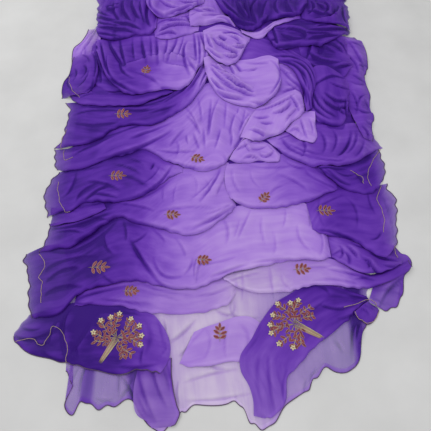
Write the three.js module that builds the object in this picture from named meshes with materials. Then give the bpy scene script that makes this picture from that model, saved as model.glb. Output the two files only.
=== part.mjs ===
// A georgette saree laid gathered on a flat surface, in millimetres, +Z up.
// X runs across the heap, Y from the pallu end (low Y) to the far end.
// Each stretch that shows is a thin wall between its hidden upper edge ("back") and its
// lower fold edge ("front"), laid over what is already on the heap.
import * as THREE from 'three';

const WALL = 2.2;            // cloth wall, with the air a soft fold holds
const GAP = 0.9;             // space kept between one stretch and the next
const CELL = 3;              // spacing of the height map that the stretches are laid on
const REACH = { left: -640, right: 640, near: -660, far: 1200 };
const SETTLE_ROUNDS = 60;    // rounds of easing the cloth tight over what is below
const LIFT_ROUNDS = 60;      // rounds of lifting a stretch clear of what is below
const EDGE_REACH = 9;        // how far round a point the cloth feels a step below it

const DYE = {
  deep: 0x50269a, mid: 0x6b38ab, light: 0x9b70cb, pale: 0xb79ad6,
};

// The height map: the top of the heap so far, with bare surface one gap below zero.
const columns = Math.ceil((REACH.right - REACH.left) / CELL);
const rowsOfMap = Math.ceil((REACH.far - REACH.near) / CELL);
const heap = new Float64Array(columns * rowsOfMap).fill(-GAP);

const mapColumn = (x) => Math.min(columns - 1, Math.max(0, Math.floor((x - REACH.left) / CELL)));
const mapRow = (y) => Math.min(rowsOfMap - 1, Math.max(0, Math.floor((y - REACH.near) / CELL)));

// Calls visit(cell, weightA, weightB, weightC) for each map cell under a triangle.
function underTriangle(a, b, c, visit) {
  const area = (b.x - a.x) * (c.y - a.y) - (c.x - a.x) * (b.y - a.y);
  if (Math.abs(area) < 1e-9) return;
  const slack = CELL * 0.71;
  const firstColumn = mapColumn(Math.min(a.x, b.x, c.x) - slack);
  const lastColumn = mapColumn(Math.max(a.x, b.x, c.x) + slack);
  const firstRow = mapRow(Math.min(a.y, b.y, c.y) - slack);
  const lastRow = mapRow(Math.max(a.y, b.y, c.y) + slack);
  const longest = Math.max(
    Math.hypot(b.x - a.x, b.y - a.y), Math.hypot(c.x - b.x, c.y - b.y), Math.hypot(a.x - c.x, a.y - c.y));
  const margin = Math.min(0.5, slack * longest / Math.abs(area));
  for (let row = firstRow; row <= lastRow; row += 1) {
    const y = REACH.near + (row + 0.5) * CELL;
    for (let column = firstColumn; column <= lastColumn; column += 1) {
      const x = REACH.left + (column + 0.5) * CELL;
      const weightB = ((x - a.x) * (c.y - a.y) - (c.x - a.x) * (y - a.y)) / area;
      const weightC = ((b.x - a.x) * (y - a.y) - (x - a.x) * (b.y - a.y)) / area;
      const weightA = 1 - weightB - weightC;
      if (Math.min(weightA, weightB, weightC) < -margin) continue;
      const held = [weightA, weightB, weightC].map((w) => Math.min(1, Math.max(0, w)));
      const sum = held[0] + held[1] + held[2];
      visit(row * columns + column, held[0] / sum, held[1] / sum, held[2] / sum);
    }
  }
}

// The highest point of the heap within EDGE_REACH of each cell.
function highestAround() {
  const reach = Math.round(EDGE_REACH / CELL);
  const across = new Float64Array(heap.length);
  const around = new Float64Array(heap.length);
  for (let row = 0; row < rowsOfMap; row += 1) {
    for (let column = 0; column < columns; column += 1) {
      let best = -Infinity;
      const last = Math.min(columns - 1, column + reach);
      for (let c = Math.max(0, column - reach); c <= last; c += 1) best = Math.max(best, heap[row * columns + c]);
      across[row * columns + column] = best;
    }
  }
  for (let row = 0; row < rowsOfMap; row += 1) {
    const last = Math.min(rowsOfMap - 1, row + reach);
    for (let column = 0; column < columns; column += 1) {
      let best = -Infinity;
      for (let r = Math.max(0, row - reach); r <= last; r += 1) best = Math.max(best, across[r * columns + column]);
      around[row * columns + column] = best;
    }
  }
  return around;
}

// A smooth line through a list of values, t from 0 to 1 over the whole list.
function through(values, t) {
  const place = Math.min(values.length - 1.000001, Math.max(0, t * (values.length - 1)));
  const index = Math.floor(place);
  const f = place - index;
  const at = (i) => values[Math.min(values.length - 1, Math.max(0, i))];
  const [p0, p1, p2, p3] = [at(index - 1), at(index), at(index + 1), at(index + 2)];
  return 0.5 * (2 * p1 + (p2 - p0) * f + (2 * p0 - 5 * p1 + 4 * p2 - p3) * f * f
    + (3 * p1 - p0 - 3 * p2 + p3) * f * f * f);
}

const easeIn = (from, to, x) => {
  const t = Math.min(1, Math.max(0, (x - from) / (to - from)));
  return t * t * (3 - 2 * t);
};

// How high a fold stands across its width: low at the hidden edge, full, then rolled under.
const LIP_START = 0.74;
const foldProfile = (v) => {
  const lip = v > LIP_START ? Math.sqrt(Math.max(0, 1 - ((v - LIP_START) / (1 - LIP_START)) ** 2)) : 1;
  return easeIn(0.05, 0.6, v) * lip;
};
const END_TAPER = 0.07;
const endProfile = (u) => Math.sqrt(Math.min(1, Math.min(u, 1 - u) / END_TAPER));

// A crease or ridge: [fromX, fromY, toX, toY, width, height], a trough where height is below 0.
function creaseHeight(x, y, [fromX, fromY, toX, toY, width, height]) {
  const length = Math.hypot(toX - fromX, toY - fromY);
  const along = ((x - fromX) * (toX - fromX) + (y - fromY) * (toY - fromY)) / (length * length);
  const held = Math.min(1, Math.max(0, along));
  const away = Math.hypot(x - fromX - held * (toX - fromX), y - fromY - held * (toY - fromY));
  return height * Math.exp(-((away / (width / 2)) ** 2)) * Math.sin(Math.PI * (0.12 + 0.76 * held));
}

// Closes a grid of top points and the points WALL below them into one body.
function wallGeometry(grid, along, across, thickness) {
  const position = [];
  const index = [];
  const point = (i, j, top) => (top ? 0 : (along + 1) * (across + 1)) + i * (across + 1) + j;
  for (const lift of [thickness, 0]) {
    for (const p of grid) position.push(p.x, p.y, p.z + lift);
  }
  for (let i = 0; i < along; i += 1) {
    for (let j = 0; j < across; j += 1) {
      for (const top of [true, false]) {
        const quad = [point(i, j, top), point(i + 1, j, top), point(i + 1, j + 1, top), point(i, j + 1, top)];
        if (top) index.push(quad[0], quad[2], quad[1], quad[0], quad[3], quad[2]);
        else index.push(quad[0], quad[1], quad[2], quad[0], quad[2], quad[3]);
      }
    }
  }
  const rim = [];
  for (let i = 0; i < along; i += 1) rim.push([i, 0, i + 1, 0]);
  for (let j = 0; j < across; j += 1) rim.push([along, j, along, j + 1]);
  for (let i = along; i > 0; i -= 1) rim.push([i, across, i - 1, across]);
  for (let j = across; j > 0; j -= 1) rim.push([0, j, 0, j - 1]);
  for (const [i, j, k, l] of rim) {
    index.push(point(i, j, true), point(k, l, true), point(k, l, false));
    index.push(point(i, j, true), point(k, l, false), point(i, j, false));
  }
  // Sections listed the other way round turn the body inside out, so its faces are turned back
  const [a, b, c] = [grid[point(0, 0, true)], grid[point(along, 0, true)], grid[point(along, across, true)]];
  const turned = (b.x - a.x) * (c.y - a.y) - (c.x - a.x) * (b.y - a.y) > 0;
  if (turned) index.reverse();
  const geometry = new THREE.BufferGeometry();
  geometry.setAttribute('position', new THREE.Float32BufferAttribute(position, 3));
  geometry.setIndex(index);
  geometry.computeVertexNormals();
  return geometry;
}

const saree = new THREE.Group();

function addNode(name, geometry, colour) {
  const material = new THREE.MeshStandardMaterial({ color: colour, roughness: 0.75, metalness: 0 });
  const mesh = new THREE.Mesh(geometry, material);
  mesh.name = name;
  saree.add(mesh);
}

// Lays one stretch on the heap. Its table has one row for each section across it:
// [backX, backY, frontX, frontY] or with [.., middleX, middleY] where the section bows.
function stretch(name, dye, { along, across, rise, sections, creases = [] }) {
  const column = (k) => sections.map((row) => {
    if (row.length > 4 || k < 4) return row[k];
    return (row[k - 4] + row[k - 2]) / 2;
  });
  const table = [0, 1, 2, 3, 4, 5].map(column);
  const bed = highestAround();
  const grid = [];
  const fixed = [];
  for (let i = 0; i <= along; i += 1) {
    const u = i / along;
    const [bx, by, fx, fy, mx, my] = table.map((values) => through(values, u));
    for (let j = 0; j <= across; j += 1) {
      const v = 1 - (1 - j / across) ** 1.25;
      const [wb, wm, wf] = [(1 - v) * (1 - 2 * v), 4 * v * (1 - v), v * (2 * v - 1)];
      const x = bx * wb + mx * wm + fx * wf;
      const y = by * wb + my * wm + fy * wf;
      const floorHere = bed[mapRow(y) * columns + mapColumn(x)] + GAP;
      grid.push({ x, y, z: floorHere, bed: floorHere, u, v });
      fixed.push(i === 0 || j === 0 || i === along || j === across);
    }
  }
  const step = across + 1;
  for (let round = 0; round < SETTLE_ROUNDS; round += 1) {
    grid.forEach((p, n) => {
      if (fixed[n]) return;
      const mean = (grid[n - 1].z + grid[n + 1].z + grid[n - step].z + grid[n + step].z) / 4;
      p.z = Math.max(p.bed, mean);
    });
  }
  for (const p of grid) {
    const creased = creases.reduce((sum, crease) => sum + creaseHeight(p.x, p.y, crease), 0);
    const lift = (rise + creased) * foldProfile(p.v) * endProfile(p.u);
    p.z = Math.max(0, p.bed, p.z + lift);
  }
  const triangles = [];
  for (let i = 0; i < along; i += 1) {
    for (let j = 0; j < across; j += 1) {
      const n = i * step + j;
      triangles.push([n, n + step, n + step + 1], [n, n + step + 1, n + 1]);
    }
  }
  for (let round = 0; round < LIFT_ROUNDS; round += 1) {
    const raise = new Float64Array(grid.length);
    let worst = 0;
    for (const [a, b, c] of triangles) {
      underTriangle(grid[a], grid[b], grid[c], (cell, wa, wb, wc) => {
        const need = heap[cell] + GAP - (grid[a].z * wa + grid[b].z * wb + grid[c].z * wc);
        if (need <= 1e-6) return;
        worst = Math.max(worst, need);
        const norm = round < LIFT_ROUNDS - 3 ? wa * wa + wb * wb + wc * wc : 0;
        [[a, wa], [b, wb], [c, wc]].forEach(([n, w]) => {
          raise[n] = Math.max(raise[n], norm ? need * w / norm : need);
        });
      });
    }
    if (worst < 1e-4) break;
    grid.forEach((p, n) => { p.z += raise[n]; });
  }
  for (const [a, b, c] of triangles) {
    underTriangle(grid[a], grid[b], grid[c], (cell, wa, wb, wc) => {
      const top = grid[a].z * wa + grid[b].z * wb + grid[c].z * wc + WALL;
      heap[cell] = Math.max(heap[cell], top);
    });
  }
  addNode(name, wallGeometry(grid, along, across, WALL), dye);
}

// The hidden layers: one rounded solid, flat below, its sides stepped like a stack of folds.
// One row for each section across it: [y, left, right, crown].
const CORE_SECTIONS = [
  [-250, -360, 360, 4], [-190, -430, 425, 6], [-110, -465, 478, 9], [0, -478, 500, 12],
  [150, -488, 508, 16], [300, -498, 500, 20], [450, -500, 505, 23], [600, -500, 520, 26],
  [750, -498, 525, 29], [900, -455, 498, 31], [1040, -455, 505, 29], [1130, -430, 480, 18],
];
const CORE_STEPS = [[0, 0], [0, 0.3], [14, 0.36], [17, 0.62], [38, 0.7], [44, 0.9], [110, 1]];
const CORE_LENGTHWISE = 20;

function heapCore() {
  const columnOf = (k) => CORE_SECTIONS.map((row) => row[k]);
  const table = [0, 1, 2, 3].map(columnOf);
  const loops = [];
  for (let i = 0; i <= CORE_LENGTHWISE; i += 1) {
    const [y, left, right, crown] = table.map((values) => through(values, i / CORE_LENGTHWISE));
    const leftSide = CORE_STEPS.map(([inset, height]) => [left + inset, y, crown * height]);
    const rightSide = CORE_STEPS.map(([inset, height]) => [right - inset, y, crown * height]).reverse();
    loops.push([...leftSide, ...rightSide]);
  }
  const around = loops[0].length;
  const position = loops.flat(2);
  const index = [];
  for (let i = 0; i < CORE_LENGTHWISE; i += 1) {
    for (let j = 0; j < around; j += 1) {
      const k = (j + 1) % around;
      const [a, b, c, d] = [i * around + j, i * around + k, (i + 1) * around + k, (i + 1) * around + j];
      index.push(a, b, c, a, c, d);
    }
  }
  const lastLoop = CORE_LENGTHWISE * around;
  for (let j = 1; j < around / 2; j += 1) {
    const [low, high, mirrorLow, mirrorHigh] = [j - 1, j, around - j, around - 1 - j];
    if (high === mirrorHigh) continue;
    index.push(low, mirrorLow, high, mirrorLow, mirrorHigh, high);
    index.push(lastLoop + low, lastLoop + high, lastLoop + mirrorLow);
    index.push(lastLoop + mirrorLow, lastLoop + high, lastLoop + mirrorHigh);
  }
  const geometry = new THREE.BufferGeometry();
  geometry.setAttribute('position', new THREE.Float32BufferAttribute(position, 3));
  geometry.setIndex(index);
  geometry.computeVertexNormals();
  const at = (n) => ({ x: position[3 * n], y: position[3 * n + 1], z: position[3 * n + 2] });
  for (let i = 0; i < CORE_LENGTHWISE; i += 1) {
    for (let j = 0; j < around - 1; j += 1) {
      const n = i * around + j;
      for (const corners of [[n, n + 1, n + around + 1], [n, n + around + 1, n + around]]) {
        const [a, b, c] = corners.map(at);
        underTriangle(a, b, c, (cell, wa, wb, wc) => {
          heap[cell] = Math.max(heap[cell], a.z * wa + b.z * wb + c.z * wc);
        });
      }
    }
  }
  addNode('heap_core', geometry, DYE.deep);
}

heapCore();

// The pallu end and what lies on it
stretch('hem_sheet', DYE.pale, {
  along: 42, across: 5, rise: 2,
  sections: [
    [-440, -210, -402, -470], [-415, -212, -378, -512], [-390, -215, -392, -560], [-370, -218, -368, -588],
    [-350, -220, -348, -545], [-325, -222, -309, -562], [-297, -224, -264, -562], [-265, -226, -218, -555],
    [-240, -230, -190, -582], [-205, -227, -161, -612], [-175, -223, -120, -610], [-150, -220, -90, -585],
    [-115, -220, -62, -570], [-75, -220, -30, -554], [-35, -220, 30, -551], [10, -220, 62, -556],
    [50, -220, 90, -605], [85, -220, 120, -616], [115, -220, 150, -600], [150, -220, 182, -552],
    [190, -220, 236, -534], [225, -223, 262, -502], [265, -226, 303, -465], [302, -215, 340, -478],
    [342, -185, 362, -472], [382, -150, 394, -444], [424, -130, 404, -395], [466, -135, 430, -330],
  ],
  creases: [
    [-345, -477, -350, -560, 22, 7], [-230, -480, -232, -555, 30, 6], [-20, -330, 10, -530, 60, 4],
    [325, -380, 350, -430, 26, 6], [262, -498, 300, -460, 24, 6], [40, -470, 60, -540, 40, 4],
  ],
});
stretch('leg_left', DYE.mid, {
  along: 9, across: 5, rise: 7,
  sections: [
    [-205, -440, -120, -440], [-210, -480, -118, -485], [-214, -520, -112, -520], [-212, -560, -100, -560],
    [-200, -585, -92, -580], [-172, -600, -100, -598], [-162, -614, -112, -611],
  ],
  creases: [[-190, -475, -190, -560, 20, -6], [-150, -480, -140, -600, 26, 5]],
});
stretch('mid_panel', DYE.light, {
  along: 8, across: 5, rise: 5,
  sections: [
    [-60, -372, -98, -458], [-30, -358, -60, -468], [10, -345, -20, -462], [55, -330, 25, -452],
    [97, -329, 60, -450], [126, -346, 80, -448],
  ],
});
stretch('corner_left', DYE.deep, {
  along: 15, across: 7, rise: 7,
  sections: [
    [-528, -322, -568, -385], [-500, -312, -549, -404], [-470, -303, -505, -427], [-440, -293, -452, -444],
    [-405, -286, -405, -456], [-360, -282, -361, -464], [-315, -281, -298, -477], [-270, -288, -242, -483],
    [-235, -300, -208, -474], [-200, -312, -172, -477], [-172, -325, -147, -479, -124, -408],
  ],
  creases: [
    [-470, -330, -455, -420, 36, -5], [-345, -340, -390, -446, 40, -4], [-214, -390, -190, -468, 30, 5],
  ],
});
stretch('corner_right', DYE.deep, {
  along: 17, across: 6, rise: 7,
  sections: [
    [98, -586, 128, -593], [98, -548, 156, -581], [88, -512, 184, -545], [68, -475, 192, -495],
    [68, -435, 226, -461], [100, -390, 266, -416], [128, -342, 298, -393], [170, -290, 339, -365],
    [215, -262, 372, -342], [265, -232, 388, -322], [313, -230, 410, -305], [365, -243, 428, -290],
    [438, -268, 445, -279],
  ],
  creases: [[110, -560, 90, -440, 26, 5], [150, -540, 130, -430, 30, -5], [200, -470, 160, -400, 30, 4]],
});
stretch('tri_right', DYE.deep, {
  along: 4, across: 4, rise: 4,
  sections: [[391, -319, 404, -334], [405, -307, 428, -346], [422, -294, 452, -334], [440, -283, 466, -306]],
});
stretch('side_right_low', DYE.light, {
  along: 11, across: 4, rise: 5,
  sections: [
    [470, -90, 549, -100], [480, -120, 572, -128], [490, -150, 592, -158], [485, -180, 580, -188],
    [475, -205, 560, -212], [465, -230, 548, -245], [455, -255, 528, -280], [445, -275, 495, -306],
    [440, -290, 464, -304],
  ],
});
stretch('swag_low_left', DYE.light, {
  along: 16, across: 6, rise: 8,
  sections: [
    [-405, -245, -404, -296], [-360, -230, -358, -296], [-310, -215, -300, -297], [-250, -200, -258, -298],
    [-200, -203, -212, -314], [-150, -215, -165, -322], [-110, -222, -110, -320], [-60, -220, -50, -318],
    [0, -205, 0, -308], [35, -195, 38, -292], [55, -188, 60, -255],
  ],
  creases: [[-180, -230, -190, -310, 30, 5], [-300, -240, -200, -290, 24, -4]],
});
stretch('swag_low_right', DYE.light, {
  along: 19, across: 6, rise: 8,
  sections: [
    [18, -205, 26, -222], [90, -172, 92, -256], [150, -160, 162, -256], [200, -150, 210, -254],
    [250, -145, 244, -248], [290, -145, 285, -238], [330, -148, 328, -232], [370, -160, 370, -240],
    [410, -180, 415, -247], [456, -200, 460, -240], [500, -190, 510, -222], [550, -170, 560, -202],
    [586, -157, 588, -178],
  ],
  creases: [[68, -190, 70, -250, 18, 5], [170, -170, 172, -250, 18, 5], [330, -160, 470, -215, 30, -5]],
});
stretch('crumple_low_right', DYE.mid, {
  along: 9, across: 5, rise: 8,
  sections: [
    [340, -40, 350, -150], [380, -60, 385, -175], [420, -75, 430, -195], [460, -100, 470, -200],
    [500, -120, 510, -195], [540, -120, 562, -172],
  ],
  creases: [[380, -110, 480, -180, 34, -7]],
});

// The middle swags, each lower fold edge lying on the one before
stretch('swag_h', DYE.mid, {
  along: 24, across: 8, rise: 12,
  sections: [
    [-578, -134, -520, -333, -556, -222], [-520, -105, -492, -328], [-440, -95, -440, -317],
    [-400, -70, -408, -276], [-360, -42, -360, -247], [-315, -18, -315, -237], [-260, -10, -268, -229],
    [-210, -22, -215, -224], [-160, -36, -165, -240], [-110, -48, -112, -251], [-60, -38, -57, -245],
    [0, 5, 0, -222], [60, 25, 62, -198], [120, 35, 122, -181], [190, 40, 192, -165], [250, 50, 252, -160],
    [300, 30, 305, -158], [340, 0, 347, -147],
  ],
  creases: [
    [-247, -90, -190, -190, 36, 9], [-175, -145, -76, -158, 60, -6], [-53, -165, -60, -240, 24, 8],
    [118, 14, 75, -110, 30, -7], [231, 14, 200, -80, 34, -6], [45, -10, 40, -180, 30, 6],
    [-480, -150, -380, -250, 50, 6],
  ],
});
stretch('panel_right', DYE.deep, {
  along: 12, across: 6, rise: 9,
  sections: [
    [290, 40, 300, -60], [330, 85, 334, -76], [370, 105, 375, -82], [410, 110, 410, -95],
    [450, 108, 440, -110], [490, 102, 478, -138], [530, 110, 510, -152], [562, 120, 547, -115, 582, 15],
  ],
  creases: [[319, -40, 409, -85, 26, -6], [523, 56, 520, -70, 24, -4]],
});
stretch('swag_g', DYE.mid, {
  along: 21, across: 7, rise: 13,
  sections: [
    [-523, -30, -530, -128], [-480, -20, -480, -118], [-440, -5, -440, -117], [-390, 15, -400, -88],
    [-345, 40, -352, -42], [-300, 60, -304, -12], [-260, 75, -267, -31], [-215, 100, -220, -43],
    [-170, 135, -176, -51], [-125, 168, -125, -70], [-80, 180, -74, -81], [-35, 182, -30, -60],
    [0, 190, 10, -28], [28, 195, 45, -1], [44, 192, 66, 24],
  ],
  creases: [[20, 165, -30, 40, 40, 10], [-72, -45, -4, -11, 30, -7], [-180, 22, -5, 15, 26, 6]],
});
stretch('fold_left_b', DYE.deep, {
  along: 8, across: 4, rise: 6,
  sections: [
    [-532, 30, -518, -40], [-480, 25, -470, -38], [-440, 25, -430, -32], [-400, 35, -395, -18],
    [-360, 45, -345, 12],
  ],
});
stretch('swag_f', DYE.deep, {
  along: 19, across: 6, rise: 11,
  sections: [
    [-530, 165, -534, -8, -553, 80], [-500, 175, -490, 5], [-460, 180, -458, 8], [-420, 195, -425, 38],
    [-380, 212, -385, 43], [-340, 225, -340, 36], [-295, 235, -295, 38], [-250, 245, -250, 55],
    [-210, 235, -212, 75], [-175, 210, -180, 100], [-140, 195, -145, 135], [-108, 180, -110, 154],
  ],
  creases: [[-432, 30, -388, 89, 34, -9], [-388, 89, -348, 99, 30, -7], [-205, 199, -222, 140, 26, 6]],
});
stretch('swag_i', DYE.mid, {
  along: 16, across: 6, rise: 12,
  sections: [
    [40, 186, 50, 44, 30, 112], [75, 190, 82, 28], [120, 193, 127, 19], [165, 194, 177, 17],
    [215, 224, 222, 20], [262, 232, 269, 35], [305, 228, 306, 46], [350, 205, 352, 66], [400, 160, 396, 84],
  ],
  creases: [[70, 170, 110, 60, 30, 7], [250, 140, 330, 80, 30, -5]],
});
stretch('fold_k2', DYE.deep, {
  along: 12, across: 5, rise: 9,
  sections: [
    [325, 196, 345, 158], [360, 200, 371, 127], [400, 200, 405, 102], [440, 205, 440, 80],
    [475, 218, 472, 72], [510, 235, 505, 74], [540, 255, 532, 98], [568, 262, 554, 128, 571, 195],
  ],
  creases: [[430, 170, 480, 110, 26, -6]],
});
stretch('swag_e', DYE.light, {
  along: 28, across: 8, rise: 13,
  sections: [
    [-562, 258, -532, 172], [-500, 264, -488, 166], [-450, 268, -440, 171], [-400, 290, -398, 185],
    [-360, 322, -352, 209], [-315, 342, -308, 221], [-265, 348, -270, 238], [-225, 352, -240, 244],
    [-185, 370, -205, 222], [-150, 395, -165, 198], [-115, 420, -128, 182], [-85, 455, -92, 167],
    [-60, 500, -58, 156], [-38, 540, -20, 158], [0, 545, 10, 174], [45, 520, 40, 196],
    [90, 490, 66, 238], [125, 450, 99, 272], [168, 430, 118, 284],
  ],
  creases: [
    [-112, 400, -60, 300, 34, 8], [-10, 440, -18, 240, 36, 9], [16, 460, -45, 240, 30, -6],
    [78, 430, 40, 250, 30, 8], [147, 361, 75, 250, 30, 7], [-256, 252, -170, 330, 40, -10],
    [-96, 320, -95, 250, 26, 6], [-420, 240, -300, 290, 34, 6],
  ],
});
stretch('crumple_j', DYE.light, {
  along: 8, across: 5, rise: 9,
  sections: [
    [60, 230, 46, 198], [85, 262, 80, 192], [115, 280, 110, 190], [150, 283, 145, 200],
    [185, 268, 178, 189], [205, 245, 205, 192], [220, 225, 215, 200],
  ],
  creases: [[110, 262, 150, 215, 22, -6]],
});
stretch('swag_k', DYE.mid, {
  along: 17, across: 6, rise: 12,
  sections: [
    [200, 300, 174, 288], [225, 312, 208, 247], [255, 325, 240, 214], [290, 345, 283, 187],
    [330, 352, 325, 172], [370, 352, 370, 169], [410, 348, 415, 170], [450, 355, 455, 187],
    [495, 368, 493, 210], [530, 355, 528, 240], [558, 322, 577, 266],
  ],
  creases: [[476, 317, 399, 190, 34, -8], [245, 322, 288, 290, 24, -6], [330, 260, 380, 200, 36, 6]],
});

// The right side's twisted folds
stretch('side_right_mid', DYE.mid, {
  along: 18, across: 4, rise: 8,
  sections: [
    [470, 815, 558, 818], [475, 780, 586, 782], [480, 740, 596, 741], [480, 700, 594, 690],
    [480, 655, 586, 645], [480, 610, 570, 600], [480, 565, 568, 560], [478, 520, 575, 520],
    [478, 480, 569, 478], [480, 440, 562, 438], [490, 400, 572, 402], [500, 365, 558, 366],
    [505, 330, 549, 320], [510, 300, 543, 278],
  ],
  creases: [[500, 760, 560, 700, 30, 6], [500, 560, 550, 500, 30, 6], [500, 460, 548, 410, 26, -5]],
});
stretch('dark_back_right', DYE.deep, {
  along: 8, across: 5, rise: 9,
  sections: [
    [320, 770, 340, 590], [365, 790, 385, 560], [415, 800, 435, 552], [465, 800, 482, 575], [515, 790, 522, 640],
  ],
  creases: [[400, 730, 440, 600, 30, -7], [350, 700, 500, 650, 30, 6]],
});

stretch('dark_loop', DYE.deep, {
  along: 11, across: 6, rise: 11,
  sections: [
    [330, 560, 335, 405], [350, 600, 362, 362], [385, 620, 405, 345], [425, 615, 443, 352],
    [460, 590, 468, 388], [492, 560, 486, 450],
  ],
  creases: [[380, 560, 420, 400, 44, 8], [440, 560, 455, 420, 30, -7]],
});
stretch('wedge_mid', DYE.light, {
  along: 5, across: 5, rise: 8,
  sections: [[222, 655, 196, 452], [262, 662, 240, 440], [302, 632, 286, 452], [338, 572, 318, 478]],
});

stretch('light_wedge', DYE.light, {
  along: 5, across: 5, rise: 7,
  sections: [[232, 335, 250, 312], [278, 402, 296, 272], [316, 412, 330, 266], [352, 400, 350, 292]],
});
stretch('light_band', DYE.light, {
  along: 12, across: 5, rise: 11,
  sections: [
    [84, 282, 128, 270], [96, 318, 178, 290], [112, 352, 228, 312], [128, 388, 268, 352],
    [150, 424, 306, 390], [190, 458, 322, 428], [240, 484, 318, 466], [290, 502, 310, 492],
  ],
  creases: [[150, 310, 250, 400, 26, -6], [231, 413, 263, 440, 22, -6]],
});
stretch('dark_river', DYE.deep, {
  along: 17, across: 5, rise: 10,
  sections: [
    [85, 785, 88, 655], [145, 795, 148, 648], [205, 770, 205, 648], [260, 742, 245, 645],
    [310, 700, 275, 625], [350, 650, 300, 580], [370, 590, 312, 530], [368, 530, 322, 490],
    [350, 470, 318, 440], [345, 420, 322, 405],
  ],
  creases: [[180, 730, 300, 640, 26, -7], [320, 620, 340, 500, 22, 6]],
});

// The upper left swags
stretch('swag_d', DYE.deep, {
  along: 24, across: 8, rise: 13,
  sections: [
    [-548, 470, -557, 262, -527, 368], [-505, 472, -510, 262], [-450, 458, -450, 267],
    [-400, 450, -402, 288], [-350, 448, -358, 328], [-300, 452, -310, 345], [-250, 465, -255, 348],
    [-205, 482, -215, 350], [-165, 503, -172, 375], [-130, 532, -132, 405], [-100, 565, -98, 437],
    [-78, 600, -75, 475], [-60, 645, -55, 508], [-48, 690, -36, 548], [-40, 740, -20, 595],
    [-32, 775, -14, 645],
  ],
  creases: [[-200, 470, -120, 440, 30, 7], [-110, 540, -60, 600, 26, -7], [-440, 420, -300, 400, 40, 6]],
});
stretch('fold_left_a', DYE.deep, {
  along: 12, across: 4, rise: 8,
  sections: [
    [-570, 560, -545, 500], [-530, 530, -500, 455], [-460, 510, -445, 441], [-400, 500, -376, 432],
    [-340, 495, -313, 429], [-290, 500, -262, 440], [-235, 515, -212, 467], [-175, 525, -152, 492],
  ],
});
stretch('side_left_sheer', DYE.light, {
  along: 9, across: 4, rise: 5,
  sections: [
    [-516, 865, -470, 870], [-528, 823, -460, 830], [-541, 790, -455, 790], [-564, 757, -450, 750],
    [-564, 710, -450, 710], [-556, 655, -450, 660], [-556, 603, -450, 610],
  ],
});
stretch('fold_left_c', DYE.deep, {
  along: 5, across: 5, rise: 8,
  sections: [[-480, 760, -470, 570], [-440, 765, -425, 520], [-395, 755, -375, 500], [-350, 740, -330, 505]],
});

stretch('lobe_left', DYE.deep, {
  along: 9, across: 5, rise: 9,
  sections: [
    [-560, 700, -470, 700], [-558, 650, -450, 650], [-560, 610, -440, 610], [-574, 575, -440, 570],
    [-574, 530, -448, 530], [-562, 492, -470, 495],
  ],
  creases: [[-500, 660, -480, 540, 30, -7]],
});
stretch('swag_c', DYE.deep, {
  along: 19, across: 7, rise: 13,
  sections: [
    [-475, 770, -450, 690], [-440, 768, -430, 625], [-405, 765, -400, 559], [-370, 770, -358, 509],
    [-325, 785, -319, 488], [-280, 790, -277, 485], [-235, 795, -230, 494], [-190, 798, -185, 505],
    [-150, 800, -138, 502], [-115, 805, -98, 528], [-85, 810, -78, 560], [-55, 815, -58, 610],
    [-12, 820, -6, 655],
  ],
  creases: [
    [-352, 725, -322, 600, 30, 6], [-265, 749, -250, 640, 24, -6], [-223, 765, -210, 640, 24, -9],
    [-131, 780, -169, 648, 26, -9], [-106, 710, -80, 600, 22, 6], [-314, 625, -109, 645, 22, -8],
  ],
});
stretch('pleats_top', DYE.mid, {
  along: 11, across: 5, rise: 8,
  sections: [
    [-258, 888, -238, 784], [-202, 905, -196, 766], [-150, 925, -152, 778], [-100, 940, -104, 800],
    [-58, 945, -68, 824],
  ],
  creases: [[-225, 880, -190, 790, 20, -7], [-170, 880, -150, 790, 20, 7], [-120, 900, -115, 800, 20, -6]],
});
stretch('light_fall', DYE.light, {
  along: 6, across: 5, rise: 8,
  sections: [[-110, 1010, -105, 860], [-60, 1030, -55, 870], [-10, 1040, -5, 890], [40, 1020, 40, 880]],
  creases: [[-50, 1000, -60, 890, 24, 6], [0, 1000, 10, 900, 22, -6]],
});

// The crumpled light middle
stretch('rosette_low', DYE.light, {
  along: 16, across: 8, rise: 13,
  sections: [
    [-45, 640, -38, 588], [-5, 660, -18, 530], [30, 665, 15, 475], [65, 660, 60, 443],
    [105, 655, 110, 430], [145, 660, 150, 424], [180, 672, 190, 452], [210, 676, 226, 500],
    [238, 655, 246, 560],
  ],
  creases: [
    [0, 581, 136, 474, 20, -8], [10, 615, 160, 500, 20, -8], [40, 645, 190, 530, 20, -8],
    [110, 645, 215, 570, 20, -7],
  ],
});
stretch('rosette_high', DYE.light, {
  along: 11, across: 6, rise: 12,
  sections: [
    [-50, 822, -40, 690], [-15, 845, -12, 646], [15, 858, 22, 622], [50, 848, 58, 626],
    [85, 830, 92, 662], [115, 805, 112, 712], [138, 782, 132, 752],
  ],
  creases: [[-20, 800, 60, 700, 22, -9], [20, 830, 95, 740, 20, -7]],
});
stretch('roll_mid', DYE.light, {
  along: 8, across: 5, rise: 10,
  sections: [
    [-105, 880, -100, 835], [-60, 905, -55, 850], [-10, 915, -5, 865], [40, 908, 38, 868], [85, 880, 80, 842],
  ],
});

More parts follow.
